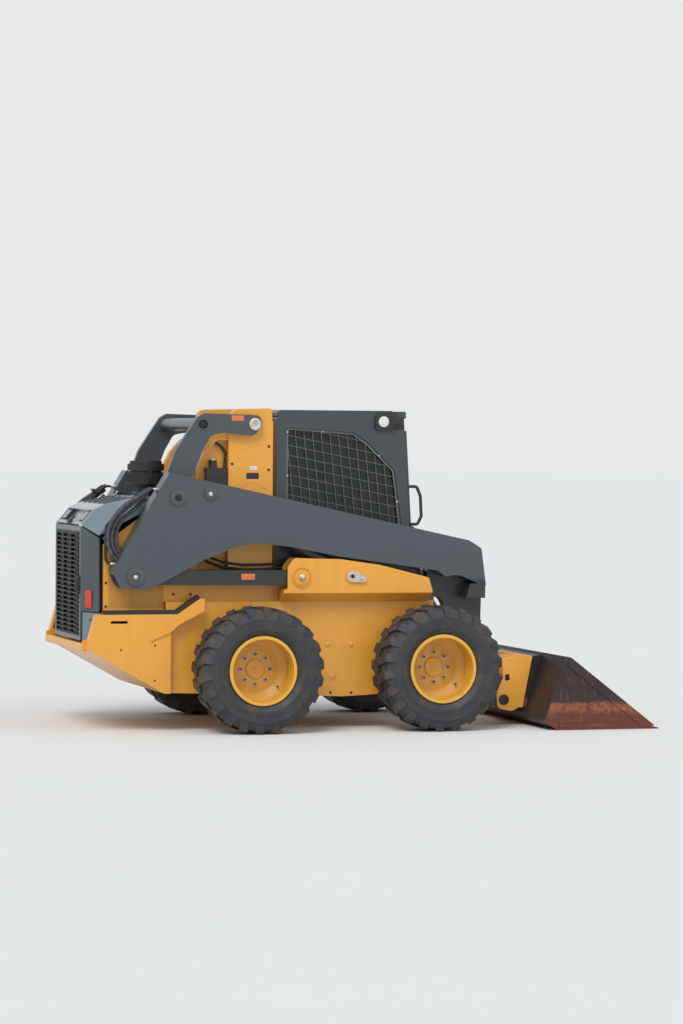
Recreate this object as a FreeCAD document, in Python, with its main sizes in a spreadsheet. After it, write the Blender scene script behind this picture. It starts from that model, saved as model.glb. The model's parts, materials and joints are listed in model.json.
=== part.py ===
"""Skid steer loader with vertical-lift arms, a bucket and an enclosed cab.

Lengths are millimetres and angles degrees. X runs forward from a datum just ahead of the rear
axle, Y to the left and Z up from the ground. Each finished sub-part is shifted along X by
datum_x, which puts the origin under the middle of the whole machine.
"""
import FreeCAD
import Part
import Sketcher
import math
import os
import re

SIZES = (
    # name, value
    ("datum_x", -798),
    ("rear_axle_x", -40),
    ("wheelbase", 1275),
    ("tyre_radius", 430),
    ("tyre_width", 344),
    ("tread_depth", 14),
    ("wheel_y", 853),
    ("rim_seat_radius", 222),
    ("flange_height", 14),
    ("rim_half_width", 150),
    ("hub_radius", 63),
    ("stud_circle_radius", 101.6),
    ("disc_inset", 96),
    ("axle_radius", 70),
    ("chassis_y", 600),
    ("deck_z", 880),
    ("rear_panel_y", 664),
    ("screen_y", 560),
    ("tower_in_y", 434),
    ("tower_out_y", 509),
    ("link_in_y", 515),
    ("link_out_y", 559),
    ("boom_in_y", 571),
    ("boom_out_y", 715),
    ("boom_plate", 12),
    ("arm_pin_radius", 30),
    ("cylinder_pin_radius", 25),
    ("running_gap", 0.05),
    ("seat_gap", 0.3),
    ("cab_y", 470),
    ("cab_wall", 35),
    ("leg_in_y", 480),
    ("leg_out_y", 570),
    ("cylinder_y", 643),
    ("tilt_y", 400),
    ("door_y", 405),
    ("door_rear_x", -1172),
    ("door_side_x", -1080),
    ("door_side_y", 562),
    ("door_top_z", 1389),
    ("door_hinge_x", -1090),
    ("door_hinge_y", 572),
    ("hinge_pin_radius", 8),
    ("cab_hinge_x", 1248),
    ("cab_hinge_y", 430),
    ("hood_hinge_x", -757),
    ("hood_hinge_z", 1606),
    ("hood_crease_y", 400),
    ("hood_side_y", 556),
    ("bucket_y", 1045),
    ("bucket_side", 15),
    ("link_top_x", 8),
    ("link_top_z", 2091),
    ("link_foot_x", -571),
    ("link_foot_z", 1588),
    ("rod_eye_x", -345),
    ("rod_eye_z", 1616),
    ("control_rear_x", -862),
    ("control_rear_z", 1053),
    ("control_front_x", 304),
    ("control_front_z", 1050),
    ("lift_base_x", 662),
    ("lift_base_z", 1055),
    ("coupler_pin_x", 1818),
    ("coupler_pin_z", 181),
    ("tilt_base_x", 1530),
    ("tilt_base_z", 900),
    ("tilt_eye_x", 1870),
    ("tilt_eye_z", 400),
    ("lift_bore_radius", 36),
    ("lift_rod_radius", 25),
    ("tilt_bore_radius", 30),
    ("tilt_rod_radius", 20),
)

# The two hinges of the cab's front door.
CAB_HINGES = (
    # name, foot height, where the leaf of the door starts
    ("cab_hinge_low", "1045", "1226"),
    ("cab_hinge_high", "1300", "1181"),
)

VALUE = dict(SIZES)
NODES = []
DOC = FreeCAD.newDocument("skid_steer_loader")
SHEET = DOC.addObject("Spreadsheet::Sheet", "Sizes")

AXIS_TURN = {
    "x": FreeCAD.Rotation(FreeCAD.Vector(0, 1, 0), 90),
    "y": FreeCAD.Rotation(FreeCAD.Vector(1, 0, 0), -90),
    "z": FreeCAD.Rotation(),
}
# A sketch on the XZ plane looks along -Y, so its depth is counted the other way.
PLANES = {
    # sketch plane: role of the body's own plane, sense of its normal along the world axis
    "XZ": ("XZ_Plane", -1),
    "YZ": ("YZ_Plane", 1),
    "XY": ("XY_Plane", 1),
}


def fill_sheet():
    """Write every driving size into the spreadsheet under its own alias."""
    for row, (name, value) in enumerate(SIZES, start=1):
        SHEET.set(f"A{row}", name)
        SHEET.set(f"B{row}", str(value))
        SHEET.setAlias(f"B{row}", name)
    DOC.recompute()


def number(text):
    """The value of a sum of products, such as 'wheel_y - tyre_width/2 + 10'."""
    total = 0.0
    for term in re.findall(r"[+-]*[^+-]+", str(text).replace(" ", "")):
        value = -1.0 if term.count("-") % 2 else 1.0
        for sign, word in re.findall(r"([*/]?)([A-Za-z_0-9.]+)", term.lstrip("+-")):
            factor = VALUE[word] if word in VALUE else float(word)
            value = value / factor if sign == "/" else value * factor
        total += value
    return total


def linked(text):
    """The same sum as an expression on the spreadsheet's cells."""
    return re.sub(r"[a-z][a-z_]+", lambda m: "Sizes." + m[0] if m[0] in VALUE else m[0], str(text))


def bind(item, prop, text):
    item.setExpression(prop, linked(text))


def minus(text):
    return f"-1 * ({text})"


def box(name, x_span, y_span, z_span):
    """A Part box between two sums on each axis."""
    item = DOC.addObject("Part::Box", name)
    for size, place, span in (("Length", "x", x_span), ("Width", "y", y_span), ("Height", "z", z_span)):
        bind(item, size, f"({span[1]}) - ({span[0]})")
        bind(item, f"Placement.Base.{place}", span[0])
    return item


def rod(name, axis, start, radius, length):
    """A Part cylinder from a start point along one axis."""
    item = DOC.addObject("Part::Cylinder", name)
    item.Placement = FreeCAD.Placement(FreeCAD.Vector(), AXIS_TURN[axis])
    bind(item, "Radius", radius)
    bind(item, "Height", length)
    for place, text in zip("xyz", start):
        bind(item, f"Placement.Base.{place}", text)
    return item


def fuse(name, pieces):
    item = DOC.addObject("Part::MultiFuse", name)
    item.Shapes = pieces
    return item


def cut(name, base, tools):
    item = DOC.addObject("Part::Cut", name)
    item.Base = base
    item.Tool = tools[0] if len(tools) == 1 else fuse(name + "_tools", tools)
    return item


def group(name, pieces):
    """Pieces that share a node without touching."""
    item = DOC.addObject("Part::Compound", name)
    item.Links = pieces
    return item


def common(name, pieces):
    """What all the pieces share."""
    item = DOC.addObject("Part::MultiCommon", name)
    item.Shapes = pieces
    return item


def mirrored(source):
    """The same piece on the machine's right-hand side."""
    item = DOC.addObject("Part::Mirroring", source.Name + "_right")
    item.Source = source
    item.Normal = FreeCAD.Vector(0, 1, 0)
    return item


def pair(name, source):
    return group(name, [source, mirrored(source)])


def node(item, label, along="0", across="0", up="0"):
    """Label a finished sub-part and place it in the machine's frame."""
    item.Label = label
    bind(item, "Placement.Base.x", f"datum_x + {along}")
    bind(item, "Placement.Base.y", across)
    bind(item, "Placement.Base.z", up)
    NODES.append(item)
    return item


def body(name):
    return DOC.addObject("PartDesign::Body", name)


def plane_sketch(owner, plane, depth):
    """An empty sketch of a body, parallel to one of its planes at a depth along the world axis."""
    role, sense = PLANES[plane]
    sketch = owner.newObject("Sketcher::SketchObject", owner.Name + "_sketch")
    support = next(f for f in owner.Origin.OriginFeatures if f.Role == role)
    sketch.AttachmentSupport = [(support, "")]
    sketch.MapMode = "FlatFace"
    bind(sketch, "AttachmentOffset.Base.z", depth if sense > 0 else minus(depth))
    return sketch


def place_point(sketch, geometry, end, across, up):
    """Hold one point of a sketch at two sums, measured from the sketch's origin."""
    for kind, text in (("DistanceX", across), ("DistanceY", up)):
        index = sketch.addConstraint(Sketcher.Constraint(kind, -1, 1, geometry, end, number(text)))
        bind(sketch, f"Constraints[{index}]", text)


def draw(sketch, rows):
    """A closed outline. Each row is a corner: across, up, corner radius."""
    corners = [FreeCAD.Vector(number(across), number(up), 0) for across, up, _ in rows]
    count = len(corners)
    ends = []
    for i, (_, _, radius) in enumerate(rows):
        back = (corners[i - 1] - corners[i]).normalize()
        ahead = (corners[(i + 1) % count] - corners[i]).normalize()
        half = back.getAngle(ahead) / 2
        run = radius / math.tan(half)
        ends.append((corners[i] + back * run, corners[i] + ahead * run, back + ahead, half))
    lines = []
    for i in range(count):
        start = ends[i][1]
        stop = ends[(i + 1) % count][0]
        lines.append(sketch.addGeometry(Part.LineSegment(start, stop), False))
    for i, (across, up, radius) in enumerate(rows):
        before = lines[i - 1]
        after = lines[i]
        if radius == 0:
            sketch.addConstraint(Sketcher.Constraint("Coincident", before, 2, after, 1))
            place_point(sketch, after, 1, across, up)
            continue
        first, last, inward, half = ends[i]
        centre = corners[i] + inward.normalize() * (radius / math.sin(half))
        middle = centre + (corners[i] - centre).normalize() * radius
        arc = sketch.addGeometry(Part.Arc(first, middle, last), False)
        near = 1 if sketch.getPoint(arc, 1).distanceToPoint(first) < sketch.getPoint(arc, 2).distanceToPoint(first) else 2
        corner = sketch.addGeometry(Part.Point(corners[i]), True)
        sketch.addConstraint([
            Sketcher.Constraint("Tangent", before, 2, arc, near),
            Sketcher.Constraint("Tangent", arc, 3 - near, after, 1),
            Sketcher.Constraint("Radius", arc, radius),
            Sketcher.Constraint("PointOnObject", corner, 1, before),
            Sketcher.Constraint("PointOnObject", corner, 1, after),
        ])
        place_point(sketch, corner, 1, across, up)


def ring(sketch, across, up, radius):
    """A circle in a sketch."""
    circle = Part.Circle(FreeCAD.Vector(number(across), number(up), 0), FreeCAD.Vector(0, 0, 1), number(radius))
    index = sketch.addGeometry(circle, False)
    held = sketch.addConstraint(Sketcher.Constraint("Radius", index, number(radius)))
    bind(sketch, f"Constraints[{held}]", radius)
    place_point(sketch, index, 3, across, up)


def pad(owner, plane, rows, low, high):
    """Fill an outline between two depths along the axis that the plane faces."""
    sketch = plane_sketch(owner, plane, high if PLANES[plane][1] < 0 else low)
    draw(sketch, rows)
    feature = owner.newObject("PartDesign::Pad", owner.Name + "_pad")
    feature.Profile = sketch
    bind(feature, "Length", f"({high}) - ({low})")
    return feature


def pocket(owner, plane, rows, low, high, holes=()):
    """Cut an outline, or round holes given as across, up, radius, between two depths."""
    sketch = plane_sketch(owner, plane, low if PLANES[plane][1] < 0 else high)
    if rows:
        draw(sketch, rows)
    for across, up, radius in holes:
        ring(sketch, across, up, radius)
    feature = owner.newObject("PartDesign::Pocket", owner.Name + "_pocket")
    feature.Profile = sketch
    bind(feature, "Length", f"({high}) - ({low})")
    return feature


def plate(name, rows, low, high, holes=(), plane="XZ"):
    """A flat piece from an outline, with round holes right through it."""
    owner = body(name)
    pad(owner, plane, rows, low, high)
    if holes:
        pocket(owner, plane, (), f"{low} - 1", f"{high} + 1", holes)
    return owner


def turned(name, rows):
    """A piece turned about the Y axis. Each row is a corner: across, radius, corner radius."""
    owner = body(name)
    sketch = plane_sketch(owner, "YZ", "0")
    draw(sketch, rows)
    feature = owner.newObject("PartDesign::Revolution", name + "_turn")
    feature.Profile = sketch
    feature.ReferenceAxis = (sketch, ["H_Axis"])
    feature.Angle = 360
    return owner


def ruled(name, rows, far_rows, depth, far_depth):
    """A piece between two upright outlines of as many corners, with straight lines from one to the other."""
    ends = []
    for corners, y_place in ((rows, depth), (far_rows, far_depth)):
        sketch = DOC.addObject("Sketcher::SketchObject", name + "_end")
        sketch.Placement = FreeCAD.Placement(FreeCAD.Vector(), FreeCAD.Rotation(FreeCAD.Vector(1, 0, 0), 90))
        bind(sketch, "Placement.Base.y", y_place)
        draw(sketch, [(across, up, 0) for across, up in corners])
        ends.append(sketch)
    item = DOC.addObject("Part::Loft", name)
    item.Sections = ends
    item.Solid = True
    item.Ruled = True
    return item


def turned_copy(name, source, axis, angle):
    """The same piece, turned about one axis through the origin."""
    copy = DOC.addObject("Part::Compound", name)
    copy.Links = [source]
    copy.Placement = FreeCAD.Placement(FreeCAD.Vector(), FreeCAD.Rotation(axis, angle))
    return copy


def tube_path(name, points, bend, radius):
    """A bent round bar or hose: straight runs joined by arcs tangent to both."""
    corners = [FreeCAD.Vector(*[number(text) for text in point]) for point in points]
    edges = []
    start = corners[0]
    for i in range(1, len(corners) - 1):
        back = (corners[i - 1] - corners[i]).normalize()
        ahead = (corners[i + 1] - corners[i]).normalize()
        half = back.getAngle(ahead) / 2
        run = bend / math.tan(half)
        first = corners[i] + back * run
        last = corners[i] + ahead * run
        centre = corners[i] + (back + ahead).normalize() * (bend / math.sin(half))
        middle = centre + (corners[i] - centre).normalize() * bend
        edges.append(Part.LineSegment(start, first).toShape())
        edges.append(Part.Arc(first, middle, last).toShape())
        start = last
    edges.append(Part.LineSegment(start, corners[-1]).toShape())
    path = Part.Wire(edges)
    heading = corners[1] - corners[0]
    section = Part.Wire([Part.Circle(corners[0], heading, radius).toShape()])
    item = DOC.addObject("Part::Feature", name)
    item.Shape = path.makePipeShell([section], True, False)
    return item


def main_frame():
    """Chassis tub with the engine bay and the footwell cut into it, and a low wall on each side of its deck."""
    tub = body("tub")
    pad(tub, "XZ", (
        # across, up, corner radius
        ("-620", "262", 0),
        ("640", "222", 20),
        ("1000", "240", 60),
        ("1225", "430", 60),
        ("1290", "620", 60),
        ("1290", "deck_z", 0),
        ("-620", "deck_z", 0),
    ), "-1*chassis_y", "chassis_y")
    rear_bay = box("rear_bay", ("-700", "-410"), ("-540", "540"), ("340", "1000"))
    front_bay = box("front_bay", ("-420", "-100"), ("-425", "425"), ("340", "1000"))
    footwell = box("footwell", ("820", "1235"), ("-410", "410"), ("480", "1000"))
    hollow_tub = cut("tub_hollow", tub, [rear_bay, front_bay, footwell])
    wall = box("deck_wall", ("-400 + seat_gap", "250"), ("screen_y - 12", "screen_y"), ("deck_z - 10", "deck_z + 175"))
    node(fuse("main_frame", [hollow_tub, wall, mirrored(wall)]), "main_frame")


def rear_skirt():
    """Hollow cheeks beside the engine bay and the sloping pan that joins them."""
    cheek = body("cheek")
    pad(cheek, "XZ", (
        ("-1185", "568", 6),
        ("-645", "262", 20),
        ("-600", "262", 0),
        ("-600", "684", 10),
        ("-540", "736", 20),
        ("-364", "826", 0),
        ("-364", "905", 0),
        ("-396", "905", 0),
        ("-556", "799", 20),
        ("-1121", "799", 6),
    ), "chassis_y", "rear_panel_y")
    pocket(cheek, "XZ", (
        ("-1166", "573", 0),
        ("-650", "280", 0),
        ("-614", "280", 0),
        ("-614", "692", 0),
        ("-556", "744", 0),
        ("-560", "785", 0),
        ("-1108", "785", 0),
    ), "chassis_y - 1", "rear_panel_y - 14")
    pocket(cheek, "XZ", (
        ("-1018", "738", 8),
        ("-900", "738", 8),
        ("-900", "756", 8),
        ("-1018", "756", 8),
    ), "rear_panel_y - 20", "rear_panel_y + 1")
    pocket(cheek, "XZ", (), "rear_panel_y - 20", "rear_panel_y + 1", (
        ("-945", "560", "7"),
        ("-709", "587", "7"),
        ("-710", "349", "7"),
    ))
    rib = plate("cheek_rib", (
        ("-745", "619", 0),
        ("-603", "678", 20),
        ("-542", "730", 20),
        ("-368", "819", 0),
        ("-372", "829", 0),
        ("-546", "740", 20),
        ("-607", "688", 20),
        ("-748", "629", 0),
    ), "rear_panel_y - 2", "rear_panel_y + 12")
    flange = box("cheek_flange", ("-1050", "-626"), ("screen_y + 2", "rear_panel_y - 10"), ("787", "799"))
    left = fuse("cheek_solid", [cheek, rib, flange])
    pan = plate("pan", (
        ("-1171.7", "563", 0),
        ("-645", "262", 20),
        ("-620 - seat_gap", "262", 0),
        ("-620 - seat_gap", "283", 0),
        ("-642", "283", 10),
        ("-1158", "579", 0),
        ("-1158", "600", 0),
        ("-1171.7", "600", 0),
    ), "-1*chassis_y", "chassis_y")
    node(fuse("rear_skirt", [left, mirrored(left), pan]), "rear_skirt")
    seal = plate("seal_strip", (
        ("-1060", "799 + seat_gap", 0),
        ("-556", "799 + seat_gap", 20),
        ("-396", "905 + seat_gap", 0),
        ("-411", "928", 0),
        ("-563", "826", 20),
        ("-1060", "826", 0),
    ), "chassis_y + 4", "rear_panel_y")
    node(pair("skirt_seals", seal), "skirt_seals")


def pivot_housings():
    """Side housings with the pins of the control links and the lift cylinders, and the ledges below."""
    housing = plate("housing", (
        ("205", "955", 0),
        ("205", "1120", 40),
        ("250", "1180", 40),
        ("576", "1172", 60),
        ("862", "1132", 60),
        ("1218", "1044", 20),
        ("1244", "955", 0),
    ), "boom_in_y", "boom_out_y")
    pocket(housing, "XZ", (
        ("150", "975", 0),
        ("150", "1300", 0),
        ("780", "1300", 0),
        ("780", "975", 0),
    ), "boom_in_y + boom_plate", "boom_out_y - boom_plate")
    ledge = plate("ledge", (
        ("chassis_y - 25", "deck_z + seat_gap", 0),
        ("chassis_y + 20", "deck_z + seat_gap", 0),
        ("boom_out_y", "940", 0),
        ("boom_out_y", "965", 0),
        ("chassis_y - 25", "965", 0),
    ), "180", "1244", plane="YZ")
    pieces = [housing, ledge]
    for name, across, up, radius in (
        ("control_front", "control_front_x", "control_front_z", "arm_pin_radius"),
        ("lift_base", "lift_base_x", "lift_base_z", "cylinder_pin_radius"),
    ):
        pieces.append(rod(name + "_pin", "y", (across, "boom_in_y - 6", up), radius,
                          "boom_out_y - boom_in_y + 18"))
        pieces.append(rod(name + "_boss", "y", (across, "boom_out_y - 2", up), f"{radius} + 24", "9"))
    keeper = plate("lift_keeper", (
        ("lift_base_x - 38", "lift_base_z - 38", 36),
        ("lift_base_x - 38", "lift_base_z + 38", 36),
        ("lift_base_x + 40", "lift_base_z + 34", 30),
        ("lift_base_x + 104", "lift_base_z - 14", 12),
        ("lift_base_x + 96", "lift_base_z - 44", 12),
        ("lift_base_x + 20", "lift_base_z - 42", 30),
    ), "boom_out_y + 6", "boom_out_y + 15")
    left = fuse("housing_solid", pieces + [keeper])
    node(pair("pivot_housings", left), "pivot_housings")


def rear_bumper():
    """The bar across the machine's tail with its two ears."""
    bar = plate("bumper_bar", (
        ("door_rear_x", "552", 0),
        ("door_rear_x", "600", 0),
        ("door_rear_x - 28", "600", 8),
        ("door_rear_x - 28", "545", 8),
    ), "seat_gap - chassis_y", "chassis_y - seat_gap")
    ear = plate("bumper_ear", (
        ("door_rear_x - 26", "595", 0),
        ("door_rear_x - 26", "622", 0),
        ("door_rear_x + 50", "645", 10),
        ("door_rear_x + 50", "600 + seat_gap", 0),
        ("door_rear_x - 2", "600 + seat_gap", 0),
        ("door_rear_x - 2", "595", 0),
    ), "chassis_y - 14", "chassis_y - seat_gap")
    node(fuse("rear_bumper", [bar, ear, mirrored(ear)]), "rear_bumper")


def towers():
    """The two posts behind the cab that carry the upper link, each with a thin wing and a cover."""
    post = plate("tower_post", (
        ("-165", "deck_z", 0),
        ("150", "deck_z", 0),
        ("150", "link_top_z + 20", 0),
        ("143", "link_top_z + 24", 0),
        ("143", "link_top_z + 111", 20),
        ("-130", "link_top_z + 103", 50),
        ("-165", "link_top_z - 20", 30),
    ), "tower_in_y", "tower_out_y")
    cover = plate("tower_cover", (
        ("-158", "1280", 0),
        ("-158", "link_top_z - 190", 20),
        ("-132", "link_top_z - 177", 20),
        ("5", "link_top_z - 120", 60),
        ("78", "link_top_z - 106", 60),
        ("144", "link_top_z - 112", 0),
        ("144", "1280", 0),
    ), "tower_out_y - 1", "tower_out_y + 3")
    wing = plate("tower_wing", (
        ("-150", "deck_z", 0),
        ("-150", "1990", 0),
        ("-250", "1990", 40),
        ("-333", "1899", 40),
        ("-392", "1790", 40),
        ("-392", "deck_z", 0),
    ), "tower_in_y", "tower_in_y + 15")
    pocket(wing, "XZ", (
        ("-165", "1300", 0),
        ("-165", "1640", 20),
        ("-340", "1640", 40),
        ("-340", "1300", 40),
    ), "tower_in_y - 1", "tower_in_y + 20")
    lip = plate("tower_lip", (
        ("-392", "1560", 0),
        ("-392", "1790", 40),
        ("-333", "1899", 40),
        ("-250", "1990", 40),
        ("-150", "1990", 0),
        ("-150", "1980", 0),
        ("-246", "1980", 36),
        ("-324", "1894", 36),
        ("-382", "1786", 36),
        ("-382", "1560", 0),
    ), "tower_in_y + 14", "tower_out_y - 4")
    pin = rod("link_pin", "y", ("link_top_x", "tower_out_y - 5", "link_top_z"), "arm_pin_radius",
              "link_out_y - tower_out_y + 5.3")
    cap = rod("link_cap", "y", ("link_top_x", "link_out_y + seat_gap", "link_top_z"), "43", "6")
    left = fuse("tower_left_solid", [post, cover, wing, lip, pin, cap])
    node(group("tower_left", [left]), "tower_left")
    node(group("tower_right", [mirrored(left)]), "tower_right")
    block = box("valve_base", ("-320", "-168"), ("tower_in_y + 15", "tower_out_y - 6"), ("1660", "1790"))
    bonnet = rod("valve_bonnet", "z", ("-268", "tower_in_y + 44", "1780"), "28", "62")
    port = rod("valve_port", "x", ("-200", "tower_in_y + 44", "1750"), "14", "35")
    strut = tube_path("valve_line", (
        ("-185", "tower_in_y + 40", "1790"),
        ("-178", "tower_in_y + 40", "1900"),
        ("-215", "tower_in_y + 40", "1945"),
        ("-253", "tower_in_y + 40", "1963.5"),
    ), 30, 9)
    valve = mirrored(fuse("valve_solid", [block, bonnet, port, strut]))
    node(group("valve_block", [valve]), "valve_block")


def engine_parts():
    """Engine, radiator, side screens, cowl, pre-cleaner and the hood with its lamps."""
    block = box("block", ("-600", "-130"), ("-280", "280"), ("340 + seat_gap", "1120"))
    node(group("engine_block", [block]), "engine_block")
    core = box("core", ("-1000", "-900"), ("seat_gap + 15 - screen_y", "screen_y - 15 - seat_gap"), ("640", "1330"))
    node(group("radiator", [core]), "radiator")
    screen = plate("screen_plate", (
        ("-1047", "deck_z - 78", 0),
        ("-626", "deck_z - 78", 0),
        ("-626", "deck_z + seat_gap", 0),
        ("-400", "deck_z + seat_gap", 0),
        ("-400", "1480", 20),
        ("-752", "1486", 60),
        ("-1047", "1270", 20),
    ), "screen_y - 15", "screen_y")
    post = box("screen_post", ("-1047", "-1012"), ("screen_y - 45", "screen_y"), ("deck_z - 78", "1270"))
    sill = box("screen_sill", ("-1020", "-626"), ("screen_y - 6", "screen_y + 5"), ("deck_z - 78", "deck_z - 52"))
    node(pair("engine_side_panels", fuse("screen_set", [screen, post, sill])), "engine_side_panels")
    cowl = plate("cowl_shell", (
        ("seat_gap - screen_y + 15", "1300", 0),
        ("seat_gap - screen_y + 15", "1440", 20),
        ("-395", "1592", 40),
        ("395", "1592", 40),
        ("screen_y - 15 - seat_gap", "1440", 20),
        ("screen_y - 15 - seat_gap", "1300", 0),
    ), "-752", "-400", plane="YZ")
    pocket(cowl, "YZ", (
        ("-528", "1290", 0),
        ("-528", "1435", 20),
        ("-390", "1580", 40),
        ("390", "1580", 40),
        ("528", "1435", 20),
        ("528", "1290", 0),
    ), "-770", "-390")
    hinge_lug = plate("hood_hinge_lug", (
        ("-766", "1600", 0),
        ("-766", "1614", 6),
        ("-752", "1618", 6),
        ("-735", "1590", 0),
        ("-752", "1590", 0),
    ), "235", "249")
    far_lug = plate("hood_hinge_far_lug", (
        ("-766", "1600", 0),
        ("-766", "1614", 6),
        ("-752", "1618", 6),
        ("-735", "1590", 0),
        ("-752", "1590", 0),
    ), "301", "315")
    hinge_pin = rod("hood_hinge_pin", "y", ("hood_hinge_x", "240", "hood_hinge_z"), "hinge_pin_radius", "70")
    hinge = [hinge_lug, far_lug, hinge_pin]
    node(fuse("engine_cowl", [cowl] + hinge + [mirrored(item) for item in hinge]), "engine_cowl")
    stack = []
    for name, low, high, radius in (
        # band, foot height, top height, radius
        ("neck", "1592 + seat_gap", "1672", "62"),
        ("bowl", "1668", "1752", "122"),
        ("waist", "1750", "1768", "112"),
        ("rim", "1766", "1812", "128"),
        ("lid", "1810", "1832", "112"),
    ):
        stack.append(rod("cleaner_" + name, "z", ("-612", "50", low), radius, f"{high} - ({low})"))
    for name, start in (("lug_left", "160"), ("lug_right", "-80")):
        stack.append(box("cleaner_" + name, ("-626", "-598"), (start, f"{start} + 20"), ("1690", "1790")))
    node(fuse("air_precleaner", stack), "air_precleaner")
    crease = (
        # across, up at the crease between the top and the sloping side
        ("-1170", "1399"),
        ("-1124", "1450"),
        ("-1080", "1503"),
        ("-1012", "1535"),
        ("-762", "1592"),
        ("-762", "1399"),
    )
    lower_edge = (
        # the same corners along the lower edge of the side
        ("-1079", "1330"),
        ("-1069", "1344"),
        ("-1057", "1360"),
        ("-1035", "1374"),
        ("-767", "1547"),
        ("-765", "1494"),
    )
    crease_inside = (
        ("-1115", "1340"),
        ("-1085", "1420"),
        ("-1050", "1470"),
        ("-990", "1512"),
        ("-740", "1574"),
        ("-740", "1340"),
    )
    lower_inside = (
        ("-1059", "1271"),
        ("-1051", "1321"),
        ("-1038", "1340"),
        ("-1014", "1361"),
        ("-740", "1536"),
        ("-740", "1386"),
    )
    crown = plate("hood_crown", [(x, z, 0) for x, z in crease], "-1*hood_crease_y", "hood_crease_y")
    cheek = ruled("hood_cheek", crease, lower_edge, "hood_crease_y", "hood_side_y")
    hollow = plate("hood_hollow", [(x, z, 0) for x, z in crease_inside], "-1*hood_crease_y", "hood_crease_y")
    hollow_side = ruled("hood_hollow_side", crease_inside, lower_inside, "hood_crease_y", "hood_side_y - 15")
    recess = plate("lamp_recess", (
        ("-1171", "1435", 0),
        ("-1105", "1513", 0),
        ("-1066", "1481", 0),
        ("-1132", "1403", 0),
    ), "-370", "370")
    solid = fuse("hood_solid", [crown, cheek, mirrored(cheek)])
    shell = cut("hood_shell", solid, [hollow, hollow_side, mirrored(hollow_side), recess])
    knuckle = rod("hood_knuckle", "y", ("hood_hinge_x", "250", "hood_hinge_z"), "13", "50")
    leaf = plate("hood_hinge_leaf", (
        ("-810", "1575", 0),
        ("-810", "1586", 0),
        ("-765", "1604", 0),
        ("-758", "1596", 0),
        ("-763", "1588", 0),
    ), "250", "300")
    bore = rod("hood_knuckle_bore", "y", ("hood_hinge_x", "-400", "hood_hinge_z"),
               "hinge_pin_radius + running_gap", "800")
    whole = fuse("hood_with_knuckles", [shell, knuckle, leaf, mirrored(knuckle), mirrored(leaf)])
    node(cut("engine_hood", whole, [bore]), "engine_hood")
    lamp = plate("tail_lamp", (
        ("-1128.4", "1408", 0),
        ("-1070.4", "1476.8", 0),
        ("-1082.7", "1487.1", 5),
        ("-1140.7", "1418.3", 5),
    ), "225", "350")
    node(pair("tail_lamps", lamp), "tail_lamps")


def frame_hoses():
    """Hoses sagging behind each arm from the tower's wing to the housing, and those below the valve block."""
    lower = tube_path("lower_hose", (
        ("-372", "tower_in_y + 15 + seat_gap", "1200"),
        ("-372", "500", "1200"),
        ("-310", "520", "1150"),
        ("-210", "532", "1112"),
        ("-60", "538", "1096"),
        ("90", "540", "1098"),
        ("235", "540", "1112"),
        ("235", "boom_in_y - seat_gap", "1112"),
    ), 26, 9)
    upper = tube_path("upper_hose", (
        ("-372", "tower_in_y + 15 + seat_gap", "1236"),
        ("-372", "492", "1236"),
        ("-305", "512", "1186"),
        ("-205", "524", "1146"),
        ("-60", "532", "1128"),
        ("90", "534", "1130"),
        ("262", "534", "1142"),
        ("262", "boom_in_y - seat_gap", "1142"),
    ), 26, 8)
    front_drop = tube_path("valve_hose_front", (
        ("-205", "478", "1660 - seat_gap"),
        ("-205", "478", "1600"),
        ("-240", "490", "1530"),
        ("-300", "492", "1470"),
        ("-366", "492", "1420"),
        ("-366", "tower_in_y + 15 + seat_gap", "1420"),
    ), 26, 9)
    rear_drop = tube_path("valve_hose_rear", (
        ("-290", "478", "1660 - seat_gap"),
        ("-290", "478", "1620"),
        ("-310", "490", "1570"),
        ("-366", "492", "1500"),
        ("-366", "tower_in_y + 15 + seat_gap", "1500"),
    ), 26, 9)
    hoses = [lower, upper, mirrored(lower), mirrored(upper), mirrored(front_drop), mirrored(rear_drop)]
    node(group("frame_hoses", hoses), "frame_hoses")


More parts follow.
